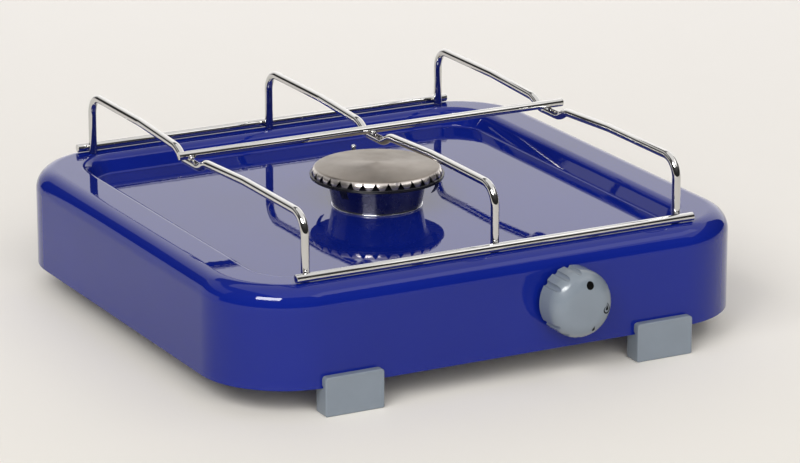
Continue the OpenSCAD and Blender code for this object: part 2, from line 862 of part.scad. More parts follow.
module valve_body() {
    color("silver") on_tap() difference() {
        union() {
            bar(bonnet_end, valve_end, barrel_d);
            translate([0, 0, bonnet_end]) linear_extrude(ear_t)
                round_rect(bonnet_w / 2, bonnet_h / 2, bonnet_corner_r);
            translate([0, 0, outlet_t]) rotate([0, -90, 0]) bar(0, port_reach, port_d);
            translate([0, 0, inlet_t]) along_x() bar(0, port_reach, port_d);
        }
        bar(bonnet_end - cut, plug_start, chamber_d);
        translate([0, 0, plug_start]) cylinder(
            h = plug_len + run_gap, d1 = plug_d + 2 * fit_gap, d2 = plug_end_d + 2 * fit_gap);
        bar(plug_end, seat_t + cut, passage_d);
        bar(seat_t, valve_end + cut, safety_bore_d);
        translate([0, 0, outlet_t]) rotate([0, -90, 0]) bar(0, port_reach + cut, outlet_bore);
        translate([0, 0, inlet_t]) along_x() bar(0, port_reach + cut, inlet_bore);
        for (side = [-1, 1]) {
            translate([side * screw_pitch / 2, 0, 0])
                bar(bonnet_end - cut, bonnet_end + ear_t + cut, screw_d + 2 * fit_gap);
        }
    }
}

module valve_bonnet() {
    color("lightgray") on_tap() difference() {
        translate([0, 0, sheet_t]) linear_extrude(bonnet_t)
            round_rect(bonnet_w / 2, bonnet_h / 2, bonnet_corner_r);
        bar(sheet_t - cut, bonnet_end + cut, spindle_d + 2 * fit_gap);
        for (side = [-1, 1]) {
            translate([side * screw_pitch / 2, 0, 0])
                bar(sheet_t - cut, bonnet_end + cut, screw_d + 2 * hole_gap);
        }
    }
}

module valve_screws() {
    color("lightgray") on_tap() for (side = [-1, 1]) {
        translate([side * screw_pitch / 2, 0, 0]) difference() {
            union() {
                bar(-screw_head_h, 0, screw_head_d);
                bar(0, screw_len, screw_d);
            }
            translate([-screw_head_d, -screw_slot_w / 2, -screw_head_h - cut])
                cube([2 * screw_head_d, screw_slot_w, screw_slot_depth + cut]);
        }
    }
}

module valve_plug() {
    slot_end = tongue_end + push_travel + run_gap;
    color("goldenrod") on_tap() difference() {
        translate([0, 0, plug_start]) cylinder(h = plug_len, d1 = plug_d, d2 = plug_end_d);
        translate([-tongue_w / 2 - run_gap, -tongue_t / 2 - run_gap, plug_start - cut])
            cube([tongue_w + 2 * run_gap, tongue_t + 2 * run_gap, slot_end - plug_start + cut]);
        bar(plug_start, plug_end + cut, rod_d + 2 * fit_gap);
        bar(plug_end - plug_bore_len, plug_end + cut, plug_bore);
        translate([0, 0, outlet_t]) rotate([-90, 0, 0]) bar(0, plug_d, outlet_bore);
    }
}

// Outline of the spindle, round with one flat
module flat_round(d, flat) {
    intersection() {
        circle(d = d);
        translate([-d, -d]) square([2 * d, d + flat]);
    }
}

module valve_spindle() {
    shaft_start = -(knob_gap + hub_bore_len - run_gap);
    color("lightgray") on_tap() {
        translate([0, 0, shaft_start]) linear_extrude(-push_travel - shaft_start)
            flat_round(spindle_d, spindle_flat);
        bar(-push_travel, collar_start, spindle_d);
        bar(collar_start, collar_end, collar_d);
        bar(collar_end, tongue_start, tongue_w);
        translate([-tongue_w / 2, -tongue_t / 2, tongue_start])
            cube([tongue_w, tongue_t, tongue_end - tongue_start]);
        bar(tongue_end, rod_end, rod_d);
    }
}

// A wire wound round the Z axis between two heights
module coil_spring(z0, z1, mean_d, wire, turns) {
    sides = 6;
    steps = turns * 16;
    rise = z1 - z0 - wire;
    function centre(i) = [mean_d / 2, z0 + wire / 2 + rise * i / steps];
    points = [
        for (i = [0 : steps], k = [0 : sides - 1])
            let (
                a = 360 * turns * i / steps,
                b = 360 * k / sides,
                r = centre(i)[0] + wire / 2 * cos(b)
            )
            [r * cos(a), r * sin(a), centre(i)[1] + wire / 2 * sin(b)]
    ];
    polyhedron(points, tube_faces(steps + 1, sides));
}

module spindle_spring() {
    color("dimgray") on_tap()
        coil_spring(spring_start, spring_start + spindle_spring_len,
            spindle_spring_d, spindle_spring_wire, spindle_spring_turns);
}

module safety_disc() {
    color("black") on_tap() bar(disc_start, stem_start, safety_disc_d);
}

module safety_stem() {
    color("lightgray") on_tap() {
        bar(stem_start, stem_start + stem_plate_t, stem_plate_d);
        bar(stem_start + stem_plate_t, armature_start, stem_d);
        bar(armature_start, armature_start + armature_t, armature_d);
    }
}

module safety_spring() {
    color("dimgray") on_tap()
        coil_spring(safety_spring_start, safety_spring_start + safety_spring_len,
            safety_spring_d, safety_spring_wire, safety_spring_turns);
}

module magnet_housing() {
    color("lightgray") on_tap() difference() {
        union() {
            bar(can_start, can_end, can_d);
            bar(valve_end, valve_end + can_flange_t, can_flange_d);
            bar(can_end, stub_end, stub_d);
        }
        bar(can_start - cut, can_start + can_wall + cut, stem_d + 2 * run_gap);
        bar(can_start + can_wall, can_end - can_wall, can_d - 2 * can_wall);
    }
}

module magnet_core() {
    pole_d = 4;
    yoke_t = 1.6;
    color("saddlebrown") on_tap() {
        bar(core_start + core_len - yoke_t, core_start + core_len, can_d - 2 * can_wall - 2 * run_gap);
        for (side = [-1, 1]) {
            translate([side * pole_d * 0.75, 0, 0]) bar(core_start, core_start + core_len - yoke_t, pole_d);
        }
    }
}

module magnet_nut() {
    lip_start = valve_end + can_flange_t;
    color("goldenrod") on_tap() difference() {
        hex_bar(valve_end - magnet_nut_grip, lip_start + magnet_nut_lip, magnet_nut_af);
        bar(valve_end - magnet_nut_grip - cut, lip_start, magnet_nut_d);
        bar(lip_start - cut, lip_start + magnet_nut_lip + cut, can_d + 2 * run_gap);
    }
}

module thermocouple_tip() {
    tip_z = floor_z + probe_h - probe_d / 2;
    color("silver") translate([probe_x, probe_y, 0]) {
        bar(sleeve_bottom, sleeve_top, sleeve_d);
        bar(floor_z, floor_z + sleeve_collar_t, sleeve_collar_d);
        bar(sleeve_top, tip_z, probe_d);
        translate([0, 0, tip_z]) sphere(d = probe_d);
    }
}

module thermocouple_nut() {
    color("goldenrod") translate([probe_x, probe_y, 0])
        hex_nut(under_z - probe_nut_h, under_z, probe_nut_af, sleeve_d + 2 * fit_gap);
}

// The lead runs down from the probe, to the right and forwards to the magnet's union
module thermocouple_lead() {
    bend_z = valve_z + lead_bend_r;
    end_y = front_y + lead_end;
    color("peru") {
        translate([probe_x, probe_y, 0]) bar(bend_z, sleeve_bottom, lead_d);
        translate([probe_x + lead_bend_r, probe_y, bend_z]) rotate([90, 0, 0])
            elbow(lead_bend_r, lead_d, 180, 270);
        translate([probe_x + lead_bend_r, probe_y, valve_z]) along_x()
            bar(0, valve_x - probe_x - 2 * lead_bend_r, lead_d);
        translate([valve_x - lead_bend_r, probe_y - lead_bend_r, valve_z])
            elbow(lead_bend_r, lead_d, 0, 90);
        translate([valve_x, end_y, valve_z]) rotate([-90, 0, 0])
            bar(0, probe_y - lead_bend_r - end_y, lead_d);
    }
}

module thermocouple_union() {
    color("goldenrod") on_tap() difference() {
        hex_bar(stub_end - union_grip, union_end, union_af);
        bar(stub_end - union_grip - cut, stub_end, stub_d + 2 * fit_gap);
        bar(stub_end - cut, union_end + cut, lead_d + 2 * fit_gap);
    }
}

// Outline of the knob from its axis outwards: straight skirt, round edge and domed face
module knob_outline() {
    square([knob_r, knob_edge_h]);
    translate([knob_edge_x, knob_edge_h]) intersection() {
        circle(knob_edge_r);
        square(knob_edge_r);
    }
    intersection() {
        translate([0, knob_len - knob_face_r]) circle(knob_face_r, $fn = dome_sides);
        square([knob_tangent_x, knob_len]);
    }
}

module knob() {
    color("slategray") on_tap() translate([0, 0, -knob_gap]) mirror([0, 0, 1]) difference() {
        rotate_extrude() knob_outline();
        difference() {
            bar(-cut, hub_bore_len, knob_d - 2 * knob_wall);
            bar(-2 * cut, hub_bore_len + cut, hub_d);
        }
        translate([0, 0, -cut]) linear_extrude(hub_bore_len + cut)
            flat_round(spindle_d + 2 * fit_gap, spindle_flat + clip_gap);
        for (group = [0 : 2], i = [-1 : 1]) {
            rotate([0, 0, -(groove_turn + 120 * group + groove_step * i)])
                translate([groove_axis_r, 0, 0]) bar(-cut, groove_len, groove_d);
        }
    }
}

module knob_clip() {
    color("lightgray") on_tap()
        translate([-clip_w / 2, spindle_flat + fit_gap, -knob_gap - hub_bore_len + run_gap])
            cube([clip_w, clip_t, hub_bore_len - 2 * run_gap]);
}

body_shell();
foot_front_left();
foot_front_right();
foot_rear_left();
foot_rear_right();
left_arch();
middle_arch();
right_arch();
front_rail();
rear_rail();
cross_rod();
burner_cap();
burner_cup();
burner_seat_ring();
burner_lock_nut();
mixing_tube();
injector_jet();
jet_holder();
inlet_connector();
inlet_lock_nut();
feed_pipe();
feed_pipe_nut();
jet_pipe();
jet_pipe_nuts();
valve_body();
valve_bonnet();
valve_screws();
valve_plug();
valve_spindle();
spindle_spring();
safety_disc();
safety_stem();
safety_spring();
magnet_housing();
magnet_core();
magnet_nut();
thermocouple_tip();
thermocouple_nut();
thermocouple_lead();
thermocouple_union();
knob();
knob_clip();
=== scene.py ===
# %% [markdown]
# # Dressing a single burner gas stove
#
# The stove is a pressed steel body in blue enamel with a shallow drip recess, a round burner with
# a brushed cap, a chromed wire pan support, a grey knob and four clip-on feet. A CAD model of it is
# already packed: it fixes every size and every joint. This lesson loads that model as a frame,
# models the pieces that show with Blender's mesh operators, and gives everything a procedural
# finish.

# %% Load the frame
import json
import math

import bmesh
import bpy
from mathutils import Matrix, Vector


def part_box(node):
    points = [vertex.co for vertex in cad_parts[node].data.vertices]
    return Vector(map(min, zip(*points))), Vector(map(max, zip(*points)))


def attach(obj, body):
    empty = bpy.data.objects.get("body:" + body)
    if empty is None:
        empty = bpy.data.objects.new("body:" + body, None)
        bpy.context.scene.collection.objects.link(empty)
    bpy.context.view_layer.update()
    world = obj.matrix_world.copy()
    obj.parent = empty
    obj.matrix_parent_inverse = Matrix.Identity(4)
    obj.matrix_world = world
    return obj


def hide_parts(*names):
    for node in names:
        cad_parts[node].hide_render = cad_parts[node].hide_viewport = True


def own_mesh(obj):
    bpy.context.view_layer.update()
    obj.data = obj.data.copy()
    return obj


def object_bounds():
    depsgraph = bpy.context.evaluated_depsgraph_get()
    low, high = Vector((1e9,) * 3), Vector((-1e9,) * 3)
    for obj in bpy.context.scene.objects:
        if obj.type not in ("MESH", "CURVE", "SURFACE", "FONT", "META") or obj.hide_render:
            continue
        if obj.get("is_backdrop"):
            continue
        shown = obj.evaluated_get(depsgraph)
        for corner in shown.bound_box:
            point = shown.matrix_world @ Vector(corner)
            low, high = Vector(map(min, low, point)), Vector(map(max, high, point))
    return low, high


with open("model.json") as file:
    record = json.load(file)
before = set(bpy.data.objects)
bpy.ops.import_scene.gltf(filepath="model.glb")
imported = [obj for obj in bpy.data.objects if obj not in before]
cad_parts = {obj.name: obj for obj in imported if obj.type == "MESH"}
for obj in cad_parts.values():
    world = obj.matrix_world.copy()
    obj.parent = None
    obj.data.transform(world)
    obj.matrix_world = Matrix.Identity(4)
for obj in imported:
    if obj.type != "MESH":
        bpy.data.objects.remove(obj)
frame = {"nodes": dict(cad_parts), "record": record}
cad_low, cad_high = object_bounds()


def show_box(label, low, high):
    print(label, "from", [round(v, 4) for v in low], "to", [round(v, 4) for v in high])


show_box("CAD box", cad_low, cad_high)

# %% [markdown]
# ## Working in millimetres
#
# Blender counts in metres, but a maker thinks of this stove in millimetres. Each piece is therefore
# built in millimetres in a bmesh, and one helper scales it, welds its seams, turns its faces
# outwards and hangs it on the CAD body that carries it. Edges that are sharper than a given angle
# stay crisp.

# %% Helpers for every piece
MM = 0.001
WELD = 0.0005


def box_mm(node):
    """Lowest and highest corner of a CAD node in millimetres."""
    low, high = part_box(node)
    return low / MM, high / MM


def middle_mm(node):
    """Middle of a CAD node's box in millimetres."""
    return [(a + b) / 2 for a, b in zip(*box_mm(node))]


def verts_of(geom):
    return [g for g in geom if isinstance(g, bmesh.types.BMVert)]


def edges_of(geom):
    return [g for g in geom if isinstance(g, bmesh.types.BMEdge)]


def mesh_of(name, bm):
    """Turns a bmesh into a mesh and frees it."""
    mesh = bpy.data.meshes.new(name)
    bm.to_mesh(mesh)
    bm.free()
    return mesh


def add_object(name, data):
    """Puts a new object into the scene."""
    thing = bpy.data.objects.new(name, data)
    bpy.context.scene.collection.objects.link(thing)
    return thing


def finish_piece(name, bm, body, slot, nodes=(), sharp=32, outwards=True, material=None):
    """Turns a bmesh in millimetres into a piece that rides on a CAD body, in its slot's finish."""
    if outwards:
        bmesh.ops.remove_doubles(bm, verts=bm.verts, dist=WELD)
        bmesh.ops.recalc_face_normals(bm, faces=bm.faces)
    bmesh.ops.scale(bm, vec=(MM, MM, MM), verts=bm.verts)
    mesh = mesh_of(name, bm)
    mesh.shade_smooth()
    mesh.set_sharp_from_angle(angle=math.radians(sharp))
    mesh.materials.append(material or FINISHES[slot])
    piece = add_object(name, mesh)
    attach(piece, body)
    if nodes:
        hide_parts(*nodes)
    print(f"{name}: {len(mesh.polygons)} faces on {body}")
    return piece


def even_normals(piece):
    """Lets the large flat faces set the shading where a rounding runs into them."""
    weighted = piece.modifiers.new("even_normals", "WEIGHTED_NORMAL")
    weighted.keep_sharp = True


# %% Helpers for outlines and sheets
def arc(centre, radius, start, end, steps):
    """Points of an arc in a plane, with its angles in degrees."""
    angles = [math.radians(start + (end - start) * i / steps) for i in range(steps + 1)]
    return [(centre[0] + radius * math.cos(a), centre[1] + radius * math.sin(a)) for a in angles]


def add_chain(bm, points):
    """Vertices joined by edges, one after the other."""
    verts = [bm.verts.new(p) for p in points]
    return verts + [bm.edges.new(pair) for pair in zip(verts, verts[1:])]


def push(bm, edges, way):
    """Pushes edges straight out into faces. Gives the pushed edges."""
    run = bmesh.ops.extrude_edge_only(bm, edges=edges)
    bmesh.ops.translate(bm, vec=way, verts=verts_of(run["geom"]))
    moved = set(verts_of(run["geom"]))
    return [e for e in edges_of(run["geom"]) if all(v in moved for v in e.verts)]


def spin(bm, geom, angle, steps, centre=(0, 0, 0), axis=(0, 0, 1), climb=0, merge=False):
    """Sweeps an outline round an axis, with a climb along Z at every step. Gives its last copy."""
    spun = bmesh.ops.spin(
        bm, geom=geom, cent=centre, axis=axis, dvec=(0, 0, climb), angle=angle, steps=steps,
        use_merge=merge, use_duplicate=False)
    return spun["geom_last"]


def lathe(bm, outline, steps):
    """Turns an outline of (radius, height) once round the Z axis."""
    chain = add_chain(bm, [(r, 0, z) for r, z in outline])
    spin(bm, chain, 2 * math.pi, steps, merge=True)


def put(bm, place):
    """Moves and turns a whole bmesh."""
    bmesh.ops.transform(bm, matrix=place, verts=bm.verts)


def round_edges(bm, edges, radius, segments):
    bmesh.ops.bevel(
        bm, geom=edges, offset=radius, offset_type="OFFSET", segments=segments, profile=0.5,
        affect="EDGES", material=-1, clamp_overlap=True)


def thicken(bm, thickness):
    """Welds an open sheet, turns its highest face up and thickens it on the inside."""
    bmesh.ops.remove_doubles(bm, verts=bm.verts, dist=WELD)
    bmesh.ops.recalc_face_normals(bm, faces=bm.faces)
    top_face = max(bm.faces, key=lambda f: f.calc_center_median().z)
    if top_face.normal.z < 0:
        bmesh.ops.reverse_faces(bm, faces=bm.faces)
    bmesh.ops.solidify(bm, geom=bm.faces[:], thickness=thickness)


# %% [markdown]
# ## Finishes
#
# A finish is more than a colour. Enamel has a slow wave and a fine orange peel, chrome has faint
# drawing lines, plastic has a grain and brass has darker patches. Three shader groups give these
# effects once, and every material sets its own values. The groups only put out colours, values and
# heights; the Principled shader stays in each material, with its constant numbers on its own
# sockets.

# %% Shader groups
NOISE_SPREAD = {"From Min": 0.3, "From Max": 0.7}


def set_inputs(node, values):
    """Sets constant values on a node's sockets."""
    for label, value in values.items():
        node.inputs[label].default_value = value


def new_group(name, inputs, outputs):
    """A shader group with float or colour sockets, and the two nodes that stand for them."""
    group = bpy.data.node_groups.new(name, "ShaderNodeTree")
    for label, kind, value in inputs:
        socket = group.interface.new_socket(name=label, in_out="INPUT", socket_type=kind)
        socket.default_value = value
    for label, kind in outputs:
        group.interface.new_socket(name=label, in_out="OUTPUT", socket_type=kind)
    return group, group.nodes.new("NodeGroupInput"), group.nodes.new("NodeGroupOutput")


def object_noise(group, scale_socket, detail=3.0):
    """Noise on Object coordinates, with its scale from a socket."""
    coords = group.nodes.new("ShaderNodeTexCoord")
    noise = group.nodes.new("ShaderNodeTexNoise")
    noise.inputs["Detail"].default_value = detail
    group.links.new(coords.outputs["Object"], noise.inputs["Vector"])
    group.links.new(scale_socket, noise.inputs["Scale"])
    return noise


def make_tint_group():
    group, given, made = new_group(
        "patchy_tint",
        [("Light", "NodeSocketColor", (1, 1, 1, 1)), ("Dark", "NodeSocketColor", (0, 0, 0, 1)),
         ("Scale", "NodeSocketFloat", 20.0)],
        [("Color", "NodeSocketColor")])
    link = group.links.new
    noise = object_noise(group, given.outputs["Scale"])
    spread = group.nodes.new("ShaderNodeMapRange")
    set_inputs(spread, NOISE_SPREAD)
    mix = group.nodes.new("ShaderNodeMix")
    mix.data_type = "RGBA"
    link(noise.outputs["Fac"], spread.inputs["Value"])
    link(spread.outputs["Result"], mix.inputs["Factor"])
    link(given.outputs["Dark"], mix.inputs["A"])
    link(given.outputs["Light"], mix.inputs["B"])
    link(mix.outputs["Result"], made.inputs["Color"])
    return group


def make_range_group():
    group, given, made = new_group(
        "patchy_value",
        [("Low", "NodeSocketFloat", 0.2), ("High", "NodeSocketFloat", 0.4),
         ("Scale", "NodeSocketFloat", 60.0)],
        [("Value", "NodeSocketFloat")])
    link = group.links.new
    noise = object_noise(group, given.outputs["Scale"], 4.0)
    spread = group.nodes.new("ShaderNodeMapRange")
    set_inputs(spread, NOISE_SPREAD)
    link(noise.outputs["Fac"], spread.inputs["Value"])
    link(given.outputs["Low"], spread.inputs["To Min"])
    link(given.outputs["High"], spread.inputs["To Max"])
    link(spread.outputs["Result"], made.inputs["Value"])
    return group


def make_relief_group():
    group, given, made = new_group(
        "two_scale_relief",
        [("Wave Scale", "NodeSocketFloat", 15.0), ("Wave", "NodeSocketFloat", 1.0),
         ("Grain Scale", "NodeSocketFloat", 300.0), ("Grain", "NodeSocketFloat", 1.0)],
        [("Height", "NodeSocketFloat")])
    link = group.links.new
    wave = object_noise(group, given.outputs["Wave Scale"], 0.0)
    grain = object_noise(group, given.outputs["Grain Scale"], 1.0)
    slow = group.nodes.new("ShaderNodeMath")
    slow.operation = "MULTIPLY"
    total = group.nodes.new("ShaderNodeMath")
    total.operation = "MULTIPLY_ADD"
    link(wave.outputs["Fac"], slow.inputs[0])
    link(given.outputs["Wave"], slow.inputs[1])
    link(grain.outputs["Fac"], total.inputs[0])
    link(given.outputs["Grain"], total.inputs[1])
    link(slow.outputs["Value"], total.inputs[2])
    link(total.outputs["Value"], made.inputs["Height"])
    return group


TINT = make_tint_group()
RANGE = make_range_group()
RELIEF = make_relief_group()
print("shader groups:", TINT.name, RANGE.name, RELIEF.name)


# %% One builder for every finish
def place_group(material, group, values, output, socket):
    """Places a group in a material, sets its inputs and links it to a socket."""
    node = material.node_tree.nodes.new("ShaderNodeGroup")
    node.node_tree = group
    set_inputs(node, values)
    material.node_tree.links.new(node.outputs[output], socket)


def make_finish(name, light, dark, patch, rough, rough_patch, wave, grain, depth, **constants):
    """A Principled finish with patchy colour and patchy roughness.

    Its relief is a wave and a grain, each a (scale, share), with a depth in metres."""
    material = bpy.data.materials.new(name)
    material.use_nodes = True
    tree = material.node_tree
    shader = tree.nodes["Principled BSDF"]
    set_inputs(shader, {label.replace("_", " "): value for label, value in constants.items()})
    tint = {"Light": (*light, 1), "Dark": (*dark, 1), "Scale": patch}
    place_group(material, TINT, tint, "Color", shader.inputs["Base Color"])
    spread = {"Low": rough[0], "High": rough[1], "Scale": rough_patch}
    place_group(material, RANGE, spread, "Value", shader.inputs["Roughness"])
    bump = tree.nodes.new("ShaderNodeBump")
    set_inputs(bump, {"Strength": 1.0, "Distance": depth})
    relief = {
        "Wave Scale": wave[0], "Wave": wave[1], "Grain Scale": grain[0], "Grain": grain[1]}
    place_group(material, RELIEF, relief, "Height", bump.inputs["Height"])
    tree.links.new(bump.outputs["Normal"], shader.inputs["Normal"])
    return material


# %% The finishes of this stove
FINISHES = {
    "blue_enamel": make_finish(
        "cobalt_enamel", (0.0040, 0.0128, 0.188), (0.0032, 0.0108, 0.168), 9, (0.008, 0.022), 40,
        wave=(16, 1.0), grain=(420, 0.10), depth=0.00006, IOR=1.40),
    "grey_plastic": make_finish(
        "grey_moulding", (0.175, 0.206, 0.244), (0.163, 0.192, 0.228), 60, (0.17, 0.23), 120,
        wave=(90, 0.4), grain=(1400, 1.0), depth=0.00003, IOR=1.46),
    "chrome_wire": make_finish(
        "bright_chrome", (0.64, 0.635, 0.63), (0.59, 0.585, 0.58), 50, (0.02, 0.05), 150,
        wave=(120, 1.0), grain=(900, 0.1), depth=0.000008, Metallic=1.0),
    "cap_steel": make_finish(
        "brushed_cap_steel", (0.260, 0.226, 0.196), (0.215, 0.187, 0.162), 38, (0.32, 0.42), 90,
        wave=(60, 0.5), grain=(1200, 0.1), depth=0.00003, Metallic=1.0,
        Anisotropic=0.6, Anisotropic_Rotation=0.25),
    "black_enamel": make_finish(
        "dark_turned_cup", (0.26, 0.26, 0.31), (0.21, 0.21, 0.26), 45, (0.24, 0.30), 100,
        wave=(80, 1.0), grain=(900, 0.15), depth=0.00001, Metallic=1.0,
        Anisotropic=0.95, Anisotropic_Rotation=0.25),
    "bright_ring": make_finish(
        "turned_aluminium", (0.86, 0.87, 0.89), (0.72, 0.73, 0.76), 70, (0.14, 0.26), 150,
        wave=(200, 0.5), grain=(1500, 0.3), depth=0.00003, Metallic=1.0),
    "grey_casting": make_finish(
        "grey_die_casting", (0.46, 0.47, 0.48), (0.33, 0.34, 0.35), 55, (0.42, 0.60), 120,
        wave=(180, 0.6), grain=(900, 1.0), depth=0.0001, Metallic=1.0),
    "zinc_steel": make_finish(
        "zinc_plate", (0.66, 0.67, 0.69), (0.50, 0.51, 0.53), 60, (0.22, 0.38), 140,
        wave=(160, 0.5), grain=(1200, 0.6), depth=0.00005, Metallic=1.0),
    "brass": make_finish(
        "machined_brass", (0.72, 0.53, 0.24), (0.53, 0.37, 0.15), 60, (0.20, 0.36), 130,
        wave=(150, 0.5), grain=(1300, 0.5), depth=0.00005, Metallic=1.0),
    "pipe_aluminium": make_finish(
        "drawn_aluminium", (0.70, 0.71, 0.72), (0.57, 0.58, 0.59), 50, (0.24, 0.36), 110,
        wave=(140, 0.5), grain=(1100, 0.4), depth=0.00004, Metallic=1.0),
    "copper": make_finish(
        "drawn_copper", (0.66, 0.34, 0.20), (0.42, 0.20, 0.12), 50, (0.24, 0.40), 110,
        wave=(140, 0.5), grain=(1100, 0.4), depth=0.00004, Metallic=1.0),
    "seal_rubber": make_finish(
        "seal_rubber", (0.030, 0.030, 0.031), (0.018, 0.018, 0.019), 80, (0.60, 0.75), 160,
        wave=(200, 0.4), grain=(1500, 1.0), depth=0.00006, IOR=1.5),
}
FLANGE_BLACK = make_finish(
    "black_flange_enamel", (0.008, 0.008, 0.011), (0.005, 0.005, 0.008), 60, (0.25, 0.32), 120,
    wave=(120, 0.5), grain=(1000, 0.3), depth=0.00003, IOR=1.45)
MARK_BLACK = make_finish(
    "printed_black", (0.004, 0.004, 0.004), (0.002, 0.002, 0.002), 200, (0.5, 0.6), 300,
    wave=(300, 0.4), grain=(2000, 0.6), depth=0.00002, IOR=1.1)


def turn_metal(material):
    """Runs the brushing of a metal round the Z axis, as turning on a lathe does."""
    tree = material.node_tree
    tangent = tree.nodes.new("ShaderNodeTangent")
    tangent.direction_type = "RADIAL"
    tangent.axis = "Z"
    tree.links.new(tangent.outputs["Tangent"], tree.nodes["Principled BSDF"].inputs["Tangent"])


def paint_highlight_below(material, height, fade, colour, roughness):
    """Paints a metal much brighter below a height, over a short fade, as a painted highlight, and
    makes it smoother there.
    """
    tree = material.node_tree
    link = tree.links.new
    shader = tree.nodes["Principled BSDF"]
    coords = tree.nodes.new("ShaderNodeTexCoord")
    parts = tree.nodes.new("ShaderNodeSeparateXYZ")
    highlight_mask = tree.nodes.new("ShaderNodeMapRange")
    set_inputs(highlight_mask, {"From Min": height * MM, "From Max": (height - fade) * MM})
    link(coords.outputs["Object"], parts.inputs["Vector"])
    link(parts.outputs["Z"], highlight_mask.inputs["Value"])
    changes = (("Base Color", "RGBA", (*colour, 1)), ("Roughness", "FLOAT", roughness))
    for label, kind, value in changes:
        blend = tree.nodes.new("ShaderNodeMix")
        blend.data_type = kind
        ends = {socket.name: socket for socket in blend.inputs if socket.enabled}
        result = next(socket for socket in blend.outputs if socket.enabled)
        ends["B"].default_value = value
        link(highlight_mask.outputs["Result"], ends["Factor"])
        link(shader.inputs[label].links[0].from_socket, ends["A"])
        link(result, shader.inputs[label])


for turned in ("cap_steel", "black_enamel"):
    turn_metal(FINISHES[turned])

# %% [markdown]
# ## Camera and studio
#
# The photograph looks at the stove's front left corner from 17 degrees above the table through a
# long lens. Glossy enamel and chrome show what stands round them, so the studio is built of
# surfaces that glow: a wall behind the table, a low and a high wall on its left and a small fill
# card on the right. A softbox on the front left and a ceiling card are seen only in reflections,
# and three soft lights do the opposite: they light the matt surfaces and are never reflected. The
# camera sees none of them, only the stove on its pale table.

# %% Camera
PHOTO_W = 800
FOCAL_PX = 4100.5
SENSOR = 36.0
CAMERA_AT = (-1.0918, -2.0854, 0.7653)
LOOK = Vector((0.4487, 0.8446, -0.2922))
camera_data = bpy.data.cameras.new("photo_camera")
camera_data.sensor_width = SENSOR
camera_data.lens = FOCAL_PX * SENSOR / PHOTO_W
camera = add_object("photo_camera", camera_data)
camera.location = CAMERA_AT
camera.rotation_mode = "QUATERNION"
camera.rotation_quaternion = LOOK.to_track_quat("-Z", "Y")
bpy.context.scene.camera = camera
bpy.context.scene.view_settings.view_transform = "Standard"
print("lens", round(camera_data.lens, 1), "mm")


# %% Table
TABLE_R = 8.0
# The far colour and its ramp paint the table paler away from the camera: painted light on its far
# side
TABLE_FAR_PAINTED_LIGHT = (0.890, 0.865, 0.840, 1)
PAINTED_LIGHT_RAMP = {"From Min": -0.2, "From Max": 0.7}


def stage_object(name, bm, material):
    """A thing of the studio, which isn't part of the stove."""
    mesh = mesh_of(name, bm)
    mesh.materials.append(material)
    thing = add_object(name, mesh)
    thing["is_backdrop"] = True
    return thing


table_finish = make_finish(
    "pale_table", (0.800, 0.775, 0.735), (0.790, 0.765, 0.725), 2, (0.7, 0.8), 30,
    wave=(30, 0.2), grain=(400, 0.2), depth=0.00005, IOR=1.3)
# Painted light: the table's colour turns paler along the view, where the lamps leave the far table
# darker
tree = table_finish.node_tree
link = tree.links.new
base = tree.nodes["Principled BSDF"].inputs["Base Color"]
place = tree.nodes.new("ShaderNodeTexCoord")
along = tree.nodes.new("ShaderNodeVectorMath")
along.operation = "DOT_PRODUCT"
along.inputs[1].default_value = LOOK
painted_light_ramp = tree.nodes.new("ShaderNodeMapRange")
set_inputs(painted_light_ramp, PAINTED_LIGHT_RAMP)
blend = tree.nodes.new("ShaderNodeMix")
blend.data_type = "RGBA"
blend.inputs["B"].default_value = TABLE_FAR_PAINTED_LIGHT
link(base.links[0].from_socket, blend.inputs["A"])
link(place.outputs["Object"], along.inputs[0])
link(along.outputs["Value"], painted_light_ramp.inputs["Value"])
link(painted_light_ramp.outputs["Result"], blend.inputs["Factor"])
link(blend.outputs["Result"], base)
bm = bmesh.new()
bmesh.ops.create_circle(bm, cap_ends=True, segments=96, radius=TABLE_R)
table = stage_object("table", bm, table_finish)
print("table", [round(v, 2) for v in table.dimensions])


# %% Walls, cards and lights
WARM_WHITE, SOFTBOX_WHITE = (1.0, 0.985, 0.96), (1.0, 0.99, 0.97)
AIM = Vector((0, 0, 0.05))
WALL_R, WALL_MIDDLE, WALL_STEPS = 2.1, 28, 60


def glow_card(name, azimuth, elevation, distance, width, height, strength, colour=WARM_WHITE):
    """A plane that glows towards the stove. Azimuth runs from +Y towards +X."""
    a, e = math.radians(azimuth), math.radians(elevation)
    way = Vector((math.sin(a) * math.cos(e), math.cos(a) * math.cos(e), math.sin(e)))
    material = bpy.data.materials.new(name)
    material.use_nodes = True
    tree = material.node_tree
    tree.nodes.remove(tree.nodes["Principled BSDF"])
    glow = tree.nodes.new("ShaderNodeEmission")
    set_inputs(glow, {"Color": (*colour, 1), "Strength": strength})
    tree.links.new(glow.outputs["Emission"], tree.nodes["Material Output"].inputs["Surface"])
    card_bm = bmesh.new()
    bmesh.ops.create_grid(card_bm, x_segments=1, y_segments=1, size=0.5)
    bmesh.ops.scale(card_bm, vec=(width, height, 1), verts=card_bm.verts)
    turn = way.to_track_quat("Z", "Y").to_matrix().to_4x4()
    put(card_bm, Matrix.Translation(AIM + way * distance) @ turn)
    card = stage_object(name, card_bm, material)
    card.visible_camera = False
    card.visible_shadow = False
    return card


